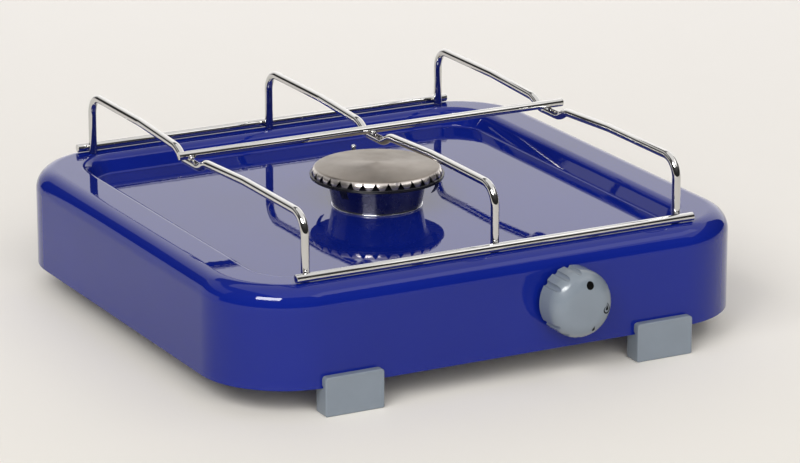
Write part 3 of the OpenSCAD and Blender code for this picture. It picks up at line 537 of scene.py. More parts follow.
def round_wall(name, heights, reach, strength, fade, rest):
    """A glowing wall round the table, between two heights.

    It reaches some degrees to the left and to the right of its middle, and its light fades to a
    rest of it towards the left."""
    card = glow_card(name, WALL_MIDDLE, 0, WALL_R, 1, 1, strength)
    wall_bm = bmesh.new()
    right_end = math.radians(90 - WALL_MIDDLE - reach[1])
    x, y = WALL_R * math.cos(right_end), WALL_R * math.sin(right_end)
    start = add_chain(wall_bm, [(x, y, z) for z in heights])
    spin(wall_bm, start, math.radians(sum(reach)), WALL_STEPS)
    wall_bm.to_mesh(card.data)
    wall_bm.free()
    tree = card.data.materials[0].node_tree
    link = tree.links.new
    place = tree.nodes.new("ShaderNodeTexCoord")
    towards = tree.nodes.new("ShaderNodeVectorMath")
    towards.operation = "NORMALIZE"
    left = tree.nodes.new("ShaderNodeVectorMath")
    left.operation = "DOT_PRODUCT"
    turn = math.radians(WALL_MIDDLE)
    left.inputs[1].default_value = (-math.cos(turn), math.sin(turn), 0)
    falloff = tree.nodes.new("ShaderNodeMapRange")
    falloff.interpolation_type = "SMOOTHSTEP"
    set_inputs(falloff, {
        "From Min": fade[0], "From Max": fade[1], "To Min": strength, "To Max": rest * strength})
    link(place.outputs["Object"], towards.inputs[0])
    link(towards.outputs["Vector"], left.inputs[0])
    link(left.outputs["Value"], falloff.inputs["Value"])
    link(falloff.outputs["Result"], tree.nodes["Emission"].inputs["Strength"])


# Heights, reach to the left and right, strength, where it fades and the rest of it
round_wall("rear_wall", (0, 1.70), (46, 40), 1.36, (0.26, 0.72), 0.42)
round_wall("low_left_wall", (0, 0.42), (100, -58.5), 0.85, (0.80, 0.99), 1.0)
round_wall("high_left_wall", (1.12, 2.10), (100, -46), 0.62, (0.72, 0.99), 0.5)
# Azimuth, elevation, distance, width, height and strength
glow_card("fill_card", 133, 50, 1.6, 1.4, 0.35, 2.0)
softbox = glow_card("softbox", -130, 45, 3.2, 1.45, 0.76, 24.0, SOFTBOX_WHITE)
ceiling = glow_card("ceiling_card", 90, 75, 3.0, 4.8, 4.8, 1.05)
for reflected in (softbox, ceiling):
    reflected.visible_diffuse = False
soft_lights = (
    glow_card("softbox_spill", -118, 40, 3.2, 2.0, 1.4, 5.4),
    glow_card("front_light", -158, 28, 9.0, 10.6, 6.75, 4.0),
    glow_card("top_light", 28, 55, 3.2, 4.4, 2.6, 0.42))
for light in soft_lights:
    light.visible_glossy = False
print("studio: three walls, three cards and", len(soft_lights), "soft lights")

# %% World
PALER_ABOVE = {"From Min": 0.25, "From Max": 0.9, "To Min": 0.03, "To Max": 0.16}
ROOM_WHITE = (1.0, 0.985, 0.965, 1)
world = bpy.data.worlds.new("dim_studio")
bpy.context.scene.world = world
world.use_nodes = True
sky = world.node_tree
direction = sky.nodes.new("ShaderNodeTexCoord")
parts = sky.nodes.new("ShaderNodeSeparateXYZ")
zenith = sky.nodes.new("ShaderNodeMapRange")
set_inputs(zenith, PALER_ABOVE)
background = sky.nodes["Background"]
set_inputs(background, {"Color": ROOM_WHITE})
sky.links.new(direction.outputs["Generated"], parts.inputs["Vector"])
sky.links.new(parts.outputs["Z"], zenith.inputs["Value"])
sky.links.new(zenith.outputs["Result"], background.inputs["Strength"])
print("world: dim room with a paler ceiling")

# %% [markdown]
# ## The enamelled body
#
# The body is one pressing: side walls, a rounded top edge, a flat rim, and a recess with steep
# walls. A cube with bevels would give wrong radii, so one quarter is swept instead. Two outlines,
# the wall and the recess, are spun round the corner and run on straight to the middle planes.
# Mirroring twice makes the whole body, and the flat rim, floor and walls are filled with their
# holes. A thickness finishes it.

# %% Sizes of the body
body_low, body_high = box_mm("body_shell")
HALF_W, HALF_D = body_high.x, body_high.y
RIM_Z, LOWER_EDGE = body_high.z, body_low.z
CORNER_R, EDGE_R, SHEET = 52.5, 12.5, 1.0
RIM_X, RIM_Y = 27.5, 22.0
MOUTH_X, MOUTH_Y, MOUTH_R = HALF_W - RIM_X, HALF_D - RIM_Y, 30.0
RECESS_DEPTH, LIP_R, FILLET_R, SLOPE = 10.9, 6.0, 1.5, 71
FLOOR_Z = RIM_Z - RECESS_DEPTH
ARCH_INSET, LEG_INSET = 48.5, 18.0
ARCH_PITCH, LEG_Y = HALF_W - ARCH_INSET, HALF_D - LEG_INSET
CORNER_STEPS, EDGE_STEPS, LIP_STEPS, FILLET_STEPS = 40, 20, 14, 12
print("body", round(2 * HALF_W), "by", round(2 * HALF_D), "mm, rim at", round(RIM_Z, 1))


def recess_outline():
    """Lip, steep wall and fillet, as (distance from the corner's axis, height)."""
    turn = math.radians(SLOPE)
    lip = arc((MOUTH_R, RIM_Z - LIP_R), LIP_R, 90, 90 + SLOPE, LIP_STEPS)
    drop = (RECESS_DEPTH - (LIP_R + FILLET_R) * (1 - math.cos(turn))) / math.sin(turn)
    foot = (lip[-1][0] - drop * math.cos(turn), lip[-1][1] - drop * math.sin(turn))
    centre = (foot[0] - FILLET_R * math.sin(turn), foot[1] + FILLET_R * math.cos(turn))
    return lip + arc(centre, FILLET_R, SLOPE - 90, -90, FILLET_STEPS)


def wall_outline():
    """Side wall and rounded top edge, as (distance from the corner's axis, height)."""
    centre = (CORNER_R - EDGE_R, RIM_Z - EDGE_R)
    return [(CORNER_R, LOWER_EDGE)] + arc(centre, EDGE_R, 0, 90, EDGE_STEPS)


def sweep_quarter(bm, outline, centre):
    """Spins an outline round one corner and runs it straight to both middle planes."""
    start = add_chain(bm, [(centre[0] + r, centre[1], z) for r, z in outline])
    end = spin(bm, start, math.pi / 2, CORNER_STEPS, centre=(*centre, 0))
    for side, shift in ((start, (0, -centre[1], 0)), (end, (-centre[0], 0, 0))):
        push(bm, edges_of(side), shift)


def fill_flat(bm, inside, holes):
    """Fills the flat opening whose edges lie inside, leaving round holes open."""
    edges = [e for e in bm.edges if len(e.link_faces) < 2 and all(inside(v.co) for v in e.verts)]
    for place, radius in holes:
        ring = bmesh.ops.create_circle(
            bm, cap_ends=False, radius=radius, segments=HOLE_SIDES, matrix=place)
        edges += {e for v in ring["verts"] for e in v.link_edges}
    bmesh.ops.triangle_fill(bm, use_beauty=True, use_dissolve=False, edges=edges)


# %% Sweep the quarter and mirror it
bm = bmesh.new()
sweep_quarter(bm, wall_outline(), (HALF_W - CORNER_R, HALF_D - CORNER_R))
sweep_quarter(bm, recess_outline(), (MOUTH_X - MOUTH_R, MOUTH_Y - MOUTH_R))
for axis in "XY":
    everything = bm.verts[:] + bm.edges[:] + bm.faces[:]
    bmesh.ops.mirror(bm, geom=everything, matrix=Matrix.Identity(4), merge_dist=WELD, axis=axis)
print("corner sweeps:", len(bm.faces), "faces")

# %% Fill the rim, the floor and the pierced walls
NEAR = 0.001
TAP_X, _, TAP_Z = middle_mm("valve_spindle")
INLET_X, _, INLET_Z = middle_mm("inlet_connector")
BURNER_X, BURNER_Y, _ = middle_mm("burner_cap")
PROBE_X, PROBE_Y, _ = middle_mm("thermocouple_tip")
SCREW_OFF = 12.0
LEG_HOLE_R, BURNER_HOLE_R, PROBE_HOLE_R = 2.8, 18.3, 3.3
TAP_HOLE_R, SCREW_HOLE_R, INLET_HOLE_R = 6.0, 2.3, 6.73
HOLE_SIDES = 40
FACING_Y = Matrix.Rotation(math.pi / 2, 4, "X")

leg_holes = [
    (Matrix.Translation((side * ARCH_PITCH, end * LEG_Y, RIM_Z)), LEG_HOLE_R)
    for side in (-1, 0, 1) for end in (-1, 1)]
fill_flat(bm, lambda p: abs(p.z - RIM_Z) < NEAR, leg_holes)
floor_holes = [
    (Matrix.Translation((BURNER_X, BURNER_Y, FLOOR_Z)), BURNER_HOLE_R),
    (Matrix.Translation((PROBE_X, PROBE_Y, FLOOR_Z)), PROBE_HOLE_R)]
fill_flat(bm, lambda p: abs(p.z - FLOOR_Z) < NEAR, floor_holes)


def pierce_wall(bm, y, holes):
    """Swaps a flat wall for one with round holes."""
    half, top = HALF_W - CORNER_R + NEAR, RIM_Z - EDGE_R + NEAR

    def on_wall(p):
        return abs(p.y - y) < NEAR and abs(p.x) < half and p.z < top

    panel = [f for f in bm.faces if all(on_wall(v.co) for v in f.verts)]
    bmesh.ops.delete(bm, geom=panel, context="FACES_ONLY")
    middle = [e for e in bm.edges if not e.link_faces and all(abs(v.co.x) < NEAR for v in e.verts)]
    bmesh.ops.delete(bm, geom=middle, context="EDGES")
    fill_flat(bm, on_wall, [(Matrix.Translation((x, y, z)) @ FACING_Y, r) for x, z, r in holes])


screw_holes = [(TAP_X + off, TAP_Z, SCREW_HOLE_R) for off in (-SCREW_OFF, SCREW_OFF)]
pierce_wall(bm, -HALF_D, [(TAP_X, TAP_Z, TAP_HOLE_R), *screw_holes])
pierce_wall(bm, HALF_D, [(INLET_X, INLET_Z, INLET_HOLE_R)])
print("pierced sheet:", len(bm.faces), "faces")

# %% Give the sheet its thickness
thicken(bm, SHEET)
enamel_body = finish_piece(
    "enamel_body", bm, "stove", "blue_enamel", ["body_shell"], outwards=False)
even_normals(enamel_body)

# %% [markdown]
# ## The pan support
#
# The support is bent from 5 mm round wire and chromed: three arches stand in holes in the rim, two
# rails lie along the front and rear, and a rod crosses the arches in the middle, where each arch
# dips under it. A curve with a bevel could draw these wires, but bending is closer to how they are
# made: a ring of edges is pushed straight and spun round each bend, as a wire is pushed through a
# former.

# %% Wire bending
arch_low, arch_high = box_mm("left_arch")
rail_low, rail_high = box_mm("front_rail")
WIRE_D = 5.0
WIRE_R = WIRE_D / 2
WELD_GAP, WIRE_CHAMFER = 0.05, 0.4
ARCH_Z = arch_high.z - WIRE_R
LEG_END = arch_low.z
RAIL_HALF = rail_high.x
ROD_Y, ROD_SINK = 2.0, 2.0
BEND_R = 12.0
FALL, FALL_BEND_R, FALL_RUN = math.radians(2.75), 60.0, 46.0
DIP_FLAT, DIP_TURN = 8.0, math.radians(33)
DIP_DROP = WIRE_D + WELD_GAP + ROD_SINK
fall_drop = FALL_BEND_R * (1 - math.cos(FALL)) + FALL_RUN * math.sin(FALL)
DIP_R = (DIP_DROP - fall_drop) / (1 + math.cos(FALL) - 2 * math.cos(DIP_TURN))
DIP_RUN = DIP_FLAT + DIP_R * (2 * math.sin(DIP_TURN) - math.sin(FALL))
WIRE_SIDES, BEND_STEPS = 32, 16
STEP_TURN, LEAST_STEPS = 5, 4


def wire_start(bm, place):
    """A ring of edges, ready to be pushed and bent."""
    ring = bmesh.ops.create_circle(
        bm, cap_ends=False, radius=WIRE_R, segments=WIRE_SIDES, matrix=place)
    return list({e for v in ring["verts"] for e in v.link_edges})


def bend(bm, ring, centre, angle, steps):
    """Bends the end of the wire about an axis along X through the centre."""
    verts = list({v for e in ring for v in e.verts})
    return edges_of(spin(bm, verts + ring, angle, steps, centre, axis=(1, 0, 0)))


def close_end(bm, ring, chamfer=0.0):
    """Caps the end of a wire, with a small chamfer where it shows."""
    face = bmesh.ops.contextual_create(bm, geom=ring)["faces"]
    if chamfer:
        round_edges(bm, [e for f in face for e in f.edges], chamfer, 2)


def follow(bm, ring, start, moves):
    """Leads the wire, at one x, through straight runs (length, 0) and turns (radius, degrees)."""
    place, heading = Vector(start), 0.0
    for size, angle in moves:
        ahead = Vector((0, math.cos(heading), math.sin(heading)))
        if not angle:
            ring = push(bm, ring, ahead * size)
            place += ahead * size
            continue
        turn = math.radians(angle)
        side = Vector((0, -ahead.z, ahead.y)) * math.copysign(size, turn)
        steps = max(LEAST_STEPS, round(abs(angle) / STEP_TURN))
        ring = bend(bm, ring, place + side, turn, steps)
        place += side + Matrix.Rotation(turn, 3, "X") @ -side
        heading += turn
    return ring


def half_arch(length):
    """Moves from a leg's bend to the middle of the dip."""
    level = length - FALL_BEND_R * math.sin(FALL) - FALL_RUN * math.cos(FALL) - DIP_RUN
    fall, dip = math.degrees(FALL), math.degrees(DIP_TURN)
    return [(level, 0), (FALL_BEND_R, -fall), (FALL_RUN, 0), (DIP_R, fall - dip), (DIP_R, dip),
            (DIP_FLAT, 0)]


def bend_arch(name, x, node):
    """One arch: up a leg, over to the dip and down the other leg."""
    bm = bmesh.new()
    first = wire_start(bm, Matrix.Translation((x, -LEG_Y, LEG_END)))
    ring = push(bm, first, (0, 0, ARCH_Z - BEND_R - LEG_END))
    ring = bend(bm, ring, (x, -LEG_Y + BEND_R, ARCH_Z - BEND_R), -math.pi / 2, BEND_STEPS)
    moves = half_arch(LEG_Y - BEND_R + ROD_Y) + half_arch(LEG_Y - BEND_R - ROD_Y)[::-1]
    ring = follow(bm, ring, (x, -LEG_Y + BEND_R, ARCH_Z), moves)
    ring = bend(bm, ring, (x, LEG_Y - BEND_R, ARCH_Z - BEND_R), -math.pi / 2, BEND_STEPS)
    ring = push(bm, ring, (0, 0, LEG_END - ARCH_Z + BEND_R))
    close_end(bm, first)
    close_end(bm, ring)
    finish_piece(name, bm, "pan_support", "chrome_wire", [node])


def cut_rail(name, y, z, node):
    """One straight wire along X."""
    bm = bmesh.new()
    along_x = Matrix.Translation((-RAIL_HALF, y, z)) @ Matrix.Rotation(math.pi / 2, 4, "Y")
    first = wire_start(bm, along_x)
    ring = push(bm, first, (2 * RAIL_HALF, 0, 0))
    close_end(bm, first, WIRE_CHAMFER)
    close_end(bm, ring, WIRE_CHAMFER)
    finish_piece(name, bm, "pan_support", "chrome_wire", [node])


# %% Bend the arches and cut the rails
for side, x in (("left", -ARCH_PITCH), ("middle", 0), ("right", ARCH_PITCH)):
    bend_arch(f"{side}_arch_wire", x, f"{side}_arch")
RAIL_Y, RAIL_Z = LEG_Y + WIRE_D + WELD_GAP, rail_low.z + WIRE_R
cut_rail("front_rail_wire", -RAIL_Y, RAIL_Z, "front_rail")
cut_rail("rear_rail_wire", RAIL_Y, RAIL_Z, "rear_rail")
cut_rail("cross_rod_wire", ROD_Y, ARCH_Z - ROD_SINK, "cross_rod")

# %% Welds
BEAD_R = 2.0
ROD_BEAD, LEG_BEAD = (0.6, 0.6, 0.4), (0.9, 0.45, 0.9)
bm = bmesh.new()
for x in (-ARCH_PITCH, 0, ARCH_PITCH):
    joints = [(ROD_Y, ARCH_Z - ROD_SINK - WIRE_R, ROD_BEAD)]
    joints += [(end * (LEG_Y + WIRE_R), RAIL_Z, LEG_BEAD) for end in (-1, 1)]
    for y, z, shape in joints:
        bead = bmesh.ops.create_icosphere(bm, subdivisions=3, radius=BEAD_R)
        bmesh.ops.scale(bm, vec=shape, verts=bead["verts"])
        bmesh.ops.translate(bm, vec=(x, y, z), verts=bead["verts"])
finish_piece("support_welds", bm, "pan_support", "chrome_wire", sharp=80)

# %% [markdown]
# ## The burner
#
# A thin steel cap with a crimped, toothed edge sits on a dark cup, and gas burns in the gaps
# between the teeth. The cap is turned on a lathe first, down to the top of the gaps. Then each
# tooth is pushed out of the ring on its own and squeezed towards its middle, which leaves the
# triangular gaps open. Just above the gaps the teeth get a painted highlight, a much brighter
# colour, together with a smoother finish.

# %% Cap
CAP_R, CAP_H, TOOTH_COUNT = 39.3, 6.6, 32
CREST_Z = box_mm("burner_cap")[1].z
CAP_Z = CREST_Z - CAP_H
CROWN_DROP, SHOULDER_R = 2.0, 4.0
GAP_TURN, GAP_W = 56, 4.7
TAB_TURN = math.radians(33)
CAP_SHEET = 0.8
STEPS_PER_TOOTH = 6
# The teeth's painted highlight: where it starts above the gaps, its fade, its bright colour and its
# lower roughness
HIGHLIGHT_RISE, HIGHLIGHT_FADE, PAINTED_HIGHLIGHT_STEEL, TEETH_ROUGHNESS = 0.3, 0.6, (0.68, 0.63, 0.60), 0.28
tooth_pitch = 2 * math.pi / TOOTH_COUNT
to_burner = Matrix.Translation((BURNER_X, BURNER_Y, 0))

dome_edge = CAP_R - SHOULDER_R
dome_r = (dome_edge ** 2 + CROWN_DROP ** 2) / (2 * CROWN_DROP)
edge_turn = math.degrees(math.asin(dome_edge / dome_r))
dome = arc((0, CREST_Z - dome_r), dome_r, 90, 90 - edge_turn, 10)
shoulder_centre = (dome_edge, CREST_Z - CROWN_DROP - SHOULDER_R)
shoulder = arc(shoulder_centre, SHOULDER_R, 90 - edge_turn, GAP_TURN, 5)[1:]
gap_top = shoulder[-1]
# Painted highlight: the teeth are painted much brighter than the cap, and also made smoother
paint_highlight_below(
    FINISHES["cap_steel"], gap_top[1] + HIGHLIGHT_RISE, HIGHLIGHT_FADE, PAINTED_HIGHLIGHT_STEEL, TEETH_ROUGHNESS)
bm = bmesh.new()
lathe(bm, dome + shoulder, TOOTH_COUNT * STEPS_PER_TOOTH)
bmesh.ops.remove_doubles(bm, verts=bm.verts, dist=WELD)
put(bm, Matrix.Rotation(TAB_TURN + tooth_pitch / 2, 4, "Z"))


def push_tooth(bm, ring, angle):
    """Pushes one tooth down and out of the cap's edge and squeezes it towards its middle."""
    facing = Matrix.Rotation(-angle, 4, "Z")
    chosen = []
    for e in ring:
        middle = facing @ ((e.verts[0].co + e.verts[1].co) / 2)
        if abs(math.atan2(middle.y, middle.x)) < tooth_pitch / 2:
            chosen.append(e)
    width_top = 2 * gap_top[0] * math.sin(tooth_pitch / 2)
    width_low = 2 * CAP_R * math.sin(tooth_pitch / 2) - GAP_W
    now, width_now = gap_top, width_top
    for goal in arc(shoulder_centre, SHOULDER_R, GAP_TURN, 0, 4)[1:] + [(CAP_R, CAP_Z)]:
        run = bmesh.ops.extrude_edge_only(bm, edges=chosen)
        moved = verts_of(run["geom"])
        share = (gap_top[1] - goal[1]) / (gap_top[1] - CAP_Z)
        width_goal = width_top + (width_low - width_top) * share
        out = facing.inverted() @ Vector((goal[0] - now[0], 0, goal[1] - now[1]))
        bmesh.ops.scale(bm, vec=(1, width_goal / width_now, 1), space=facing, verts=moved)
        bmesh.ops.translate(bm, vec=out, verts=moved)
        now, width_now = goal, width_goal
        inside = set(moved)
        chosen = [e for e in edges_of(run["geom"]) if all(v in inside for v in e.verts)]


lower_ring = [
    e for e in bm.edges
    if len(e.link_faces) == 1 and all(v.co.z < gap_top[1] + NEAR for v in e.verts)]
for i in range(TOOTH_COUNT):
    push_tooth(bm, lower_ring, TAB_TURN + i * tooth_pitch)
thicken(bm, CAP_SHEET)
put(bm, to_burner)
finish_piece("burner_crown", bm, "stove", "cap_steel", ["burner_cap"], outwards=False)

# %% Tabs that grip the cup
FLANGE_OUT, FLANGE_DROP = 1.1, 0.8
FLANGE_R, FLANGE_Z = CAP_R + FLANGE_OUT, CAP_Z - FLANGE_DROP
TAB_COUNT, TAB_W, TAB_T = 4, 4.6, 0.7
# Side view of a tab as (distance past the flange, height): over the flange, then in under the cup
TAB_SIDE = [
    (-1.2, CAP_Z + 0.5), (0, CAP_Z + 0.45), (0.45, CAP_Z), (0.45, FLANGE_Z - 1.2),
    (-0.6, FLANGE_Z - 3.6), (-2.2, FLANGE_Z - 6.0)]
bm = bmesh.new()
for i in range(TAB_COUNT):
    hook = add_chain(bm, [(FLANGE_R + r, -TAB_W / 2, z) for r, z in TAB_SIDE])
    run = bmesh.ops.extrude_edge_only(bm, edges=edges_of(hook))
    bmesh.ops.translate(bm, vec=(0, TAB_W, 0), verts=verts_of(run["geom"]))
    bmesh.ops.rotate(
        bm, cent=(0, 0, 0), verts=verts_of(hook) + verts_of(run["geom"]),
        matrix=Matrix.Rotation(TAB_TURN + i * 2 * math.pi / TAB_COUNT, 3, "Z"))
bmesh.ops.recalc_face_normals(bm, faces=bm.faces)
bmesh.ops.solidify(bm, geom=bm.faces[:], thickness=TAB_T / 2)
put(bm, to_burner)
# The tabs are part of the steel cap but take the flange's near-black: painted shade for the shadow
# they sit in under the flange
finish_piece(
    "crown_tabs", bm, "stove", "black_enamel", sharp=50, outwards=False, material=FLANGE_BLACK)

# %% Cup and seat ring
RING_R, RING_T, RING_EDGE_R, RING_FIT = 27.5, 0.9, 0.4, 0.05
CUP_Z = FLOOR_Z + RING_T
CUP_LOW_R, CUP_TOP_R, CUP_WALL, NECK_R, NECK_BORE_R = 27.0, 29.75, 1.2, 18.0, 16.0
CUP_EDGE_R, THROAT_R, CUP_TAPER, LEDGE = 0.8, 1.6, 14, 2.4
BURNER_STEPS = 160
neck_low = box_mm("burner_cup")[0].z
bm = bmesh.new()
lathe(bm, [
    (NECK_BORE_R, neck_low), (NECK_R, neck_low), (NECK_R, CUP_Z), (CUP_LOW_R - CUP_EDGE_R, CUP_Z),
    *arc((CUP_LOW_R - CUP_EDGE_R, CUP_Z + CUP_EDGE_R), CUP_EDGE_R, -90, -CUP_TAPER, 4),
    *arc((CUP_TOP_R + THROAT_R, FLANGE_Z - 2 * THROAT_R), THROAT_R, 180 - CUP_TAPER, 90, 5),
    (CUP_TOP_R + LEDGE, CAP_Z), (CUP_TOP_R - CUP_WALL, CAP_Z),
    (CUP_LOW_R - CUP_WALL, CUP_Z + CUP_WALL), (NECK_BORE_R, CUP_Z + CUP_WALL),
    (NECK_BORE_R, neck_low)], BURNER_STEPS)
put(bm, to_burner)
finish_piece("burner_cup_shell", bm, "stove", "black_enamel", ["burner_cup"], sharp=40)

ROLL_R, LIP_EDGE_R, FLANGE_BORE_R = 0.6, 0.4, CUP_TOP_R + 1.8
flange_low = FLANGE_Z - 2 * ROLL_R
bm = bmesh.new()
lathe(bm, [
    (FLANGE_BORE_R, flange_low), (FLANGE_R - 2 * ROLL_R, flange_low),
    *arc((FLANGE_R - 2 * LIP_EDGE_R, FLANGE_Z - ROLL_R), ROLL_R, -90, 70, 5),
    *arc((FLANGE_R - LIP_EDGE_R, FLANGE_Z + LIP_EDGE_R), LIP_EDGE_R, -70, 90, 5),
    (FLANGE_BORE_R, CAP_Z), (FLANGE_BORE_R, flange_low)], BURNER_STEPS)
put(bm, to_burner)
finish_piece(
    "burner_cup_flange", bm, "stove", "black_enamel", sharp=40, material=FLANGE_BLACK)

ring_bore_r = NECK_R + RING_FIT
bm = bmesh.new()
lathe(bm, [
    (ring_bore_r, FLOOR_Z), (RING_R, FLOOR_Z), (RING_R, CUP_Z - RING_EDGE_R),
    *arc((RING_R - RING_EDGE_R, CUP_Z - RING_EDGE_R), RING_EDGE_R, 0, 90, 4),
    (ring_bore_r, CUP_Z), (ring_bore_r, FLOOR_Z)], BURNER_STEPS)
put(bm, to_burner)
finish_piece("seat_ring", bm, "stove", "bright_ring", ["burner_seat_ring"], sharp=50)

# %% Thermocouple probe
probe_low, probe_high = box_mm("thermocouple_tip")
SLEEVE_R, COLLAR_R, TIP_R = 3.0, 5.0, 1.6
COLLAR_EDGE, SLEEVE_EDGE, PROBE_STEPS = 0.3, 0.5, 40
COLLAR_TOP, SLEEVE_TOP = FLOOR_Z + 1.5, FLOOR_Z + 6
bm = bmesh.new()
lathe(bm, [
    (0, probe_low.z), (SLEEVE_R, probe_low.z), (SLEEVE_R, FLOOR_Z), (COLLAR_R, FLOOR_Z),
    (COLLAR_R, COLLAR_TOP - COLLAR_EDGE), (COLLAR_R - COLLAR_EDGE, COLLAR_TOP),
    (SLEEVE_R, COLLAR_TOP), (SLEEVE_R, SLEEVE_TOP - SLEEVE_EDGE),
    (SLEEVE_R - SLEEVE_EDGE, SLEEVE_TOP), (TIP_R, SLEEVE_TOP),
    *arc((0, probe_high.z - TIP_R), TIP_R, 0, 90, 8)], PROBE_STEPS)
put(bm, Matrix.Translation((PROBE_X, PROBE_Y, 0)))
finish_piece("probe_sheath", bm, "stove", "zinc_steel", ["thermocouple_tip"], sharp=40)

# %% [markdown]
# ## The knob
#
# A moulded knob with a shallow domed face, a round front edge and three groups of grip grooves that
# fade out before the face. It is turned on the lathe, and nine round cutters with ball ends take
# out the grooves. A dot marks the closed setting, and a large and a small flame mark the other two.

# %% Knob body
knob_low, knob_high = box_mm("knob")
KNOB_R, KNOB_LEN = (knob_high.x - knob_low.x) / 2, knob_high.y - knob_low.y
KNOB_BACK = knob_high.y
CROWN, KNOB_EDGE_R, KNOB_CHAMFER, KNOB_STEPS = 1.2, 10.0, 0.4, 180
KNOB_WALL, FACE_T, HUB_R, BORE_R = 2.2, 3.0, 6.5, 4.05
HOLLOW, INNER_R = KNOB_LEN - CROWN - FACE_T, KNOB_R - KNOB_WALL
face_r = (KNOB_R ** 2 + CROWN ** 2) / (2 * CROWN)
edge_h = KNOB_LEN - face_r + math.sqrt((face_r - KNOB_EDGE_R) ** 2 - (KNOB_R - KNOB_EDGE_R) ** 2)
face_turn = math.degrees(math.asin((KNOB_R - KNOB_EDGE_R) / (face_r - KNOB_EDGE_R)))
to_knob = Matrix.Translation((TAP_X, KNOB_BACK, TAP_Z)) @ Matrix.Rotation(math.pi / 2, 4, "X")

bm = bmesh.new()
lathe(bm, [
    *arc((0, KNOB_LEN - face_r), face_r, 90, 90 - face_turn, 6),
    *arc((KNOB_R - KNOB_EDGE_R, edge_h), KNOB_EDGE_R, 90 - face_turn, 0, 10)[1:],
    (KNOB_R, KNOB_CHAMFER), (KNOB_R - KNOB_CHAMFER, 0), (INNER_R, 0), (INNER_R, HOLLOW),
    (HUB_R, HOLLOW), (HUB_R, 0), (BORE_R, 0), (BORE_R, HOLLOW), (0, HOLLOW)], KNOB_STEPS)
put(bm, to_knob)
knob = finish_piece("knob_moulding", bm, "control_knob", "grey_plastic", ["knob"], sharp=40)

# %% Grip grooves
GROOVE_R, GROOVE_AXIS, GROOVE_LEN = 1.8, KNOB_R + 0.2, 0.85 * KNOB_LEN
GROOVE_START, GROOVE_STEPS = -2, 24
GROUP_TURN, GROOVE_TURN, SHARP_TURN = 120, 24, 35
bm = bmesh.new()
for group in range(3):
    for i in (-1, 0, 1):
        angle = math.radians(GROUP_TURN * group + GROOVE_TURN * i)
        axis = (GROOVE_AXIS * math.cos(angle), GROOVE_AXIS * math.sin(angle), 0)
        ball_end = arc((0, GROOVE_LEN - GROOVE_R), GROOVE_R, 0, 90, 6)
        cutter = bmesh.new()
        lathe(cutter, [(0, GROOVE_START), (GROOVE_R, GROOVE_START), *ball_end], GROOVE_STEPS)
        put(cutter, Matrix.Translation(axis))
        bmesh.ops.remove_doubles(cutter, verts=cutter.verts, dist=WELD)
        bmesh.ops.recalc_face_normals(cutter, faces=cutter.faces)
        shape = mesh_of("groove", cutter)
        bm.from_mesh(shape)
        bpy.data.meshes.remove(shape)
put(bm, to_knob)
bmesh.ops.scale(bm, vec=(MM, MM, MM), verts=bm.verts)
groove_cutters = add_object("groove_cutters", mesh_of("groove_cutters", bm))
cut = knob.modifiers.new("grip_grooves", "BOOLEAN")
cut.operation = "DIFFERENCE"
cut.object = groove_cutters
bpy.context.view_layer.update()
evaluated = knob.evaluated_get(bpy.context.evaluated_depsgraph_get())
grooved = bpy.data.meshes.new_from_object(evaluated)
knob.modifiers.clear()
knob.data = grooved
grooved.shade_smooth()
grooved.set_sharp_from_angle(angle=math.radians(SHARP_TURN))
bpy.data.objects.remove(groove_cutters)
even_normals(knob)
print("grooved knob:", len(grooved.polygons), "faces")


# %% Marks on the face
MARK_T, MARK_CUTS = 0.05, 3
DOT_R, DOT_SIDES = 2.4, 24


def knob_height(radius):
    """Height of the knob's face, or of its round edge, at a distance from the axis."""
    past_face = radius - (KNOB_R - KNOB_EDGE_R)
    if past_face < KNOB_EDGE_R * math.sin(math.radians(face_turn)):
        return KNOB_LEN - face_r + math.sqrt(face_r ** 2 - radius ** 2)
    return edge_h + math.sqrt(KNOB_EDGE_R ** 2 - past_face ** 2)


def add_mark(name, outlines, radius, clockwise):
    """A thin printed shape that follows the knob's face.

    It lies at a distance from the axis and some degrees clockwise from the top. Two outlines of
    equal count make the band between them."""
    turn = math.radians(90 - clockwise)
    x0, y0 = radius * math.cos(turn), radius * math.sin(turn)
    bm = bmesh.new()
    loops = [[bm.verts.new((x0 + x, y0 + y, 0)) for x, y in outline] for outline in outlines]
    if len(loops) == 1:
        bmesh.ops.poke(bm, faces=[bm.faces.new(loops[0])])
        bmesh.ops.subdivide_edges(bm, edges=bm.edges, cuts=MARK_CUTS, use_grid_fill=True)
        faces = bm.faces[:]
    else:
        rings = [bm.edges.new(pair) for loop in loops for pair in zip(loop, loop[1:] + loop[:1])]
        faces = bmesh.ops.bridge_loops(bm, edges=rings)["faces"]
    raised = bmesh.ops.extrude_face_region(bm, geom=faces)
    bmesh.ops.translate(bm, vec=(0, 0, MARK_T), verts=verts_of(raised["geom"]))
    for v in bm.verts:
        v.co.z += knob_height(math.hypot(v.co.x, v.co.y))
    put(bm, to_knob)
    finish_piece(name, bm, "control_knob", "grey_plastic", material=MARK_BLACK)


def flame_outline(height, width):
    """A plain drop with its tip upwards."""
    low = arc((0, -height * 0.2), width / 2, 180, 360, 10)
    return low + [
        (width * 0.33, height * 0.12), (width * 0.06, height * 0.62),
        (-width * 0.12, height * 0.2), (-width * 0.36, height * 0.05)]


dot_outline = arc((0, 0), DOT_R, 0, 360 - 360 / DOT_SIDES, DOT_SIDES - 1)
add_mark("closed_dot", [dot_outline], radius=12.9, clockwise=9)
flame_band = [flame_outline(5.0, 5.4), flame_outline(3.9, 4.0)]
add_mark("large_flame", flame_band, radius=13.6, clockwise=99)
add_mark("large_flame_core", [flame_outline(2.6, 2.2)], radius=13.6, clockwise=99)
add_mark("small_flame", [flame_outline(2.8, 2.0)], radius=14.4, clockwise=160)

# %% [markdown]
# ## Feet
#
# Each foot is a grey plastic clip: an outer plate with softened edges, a block under the wall's
# lower edge and a lug behind the wall. The side view is drawn once, pushed to the foot's width and
# softened.

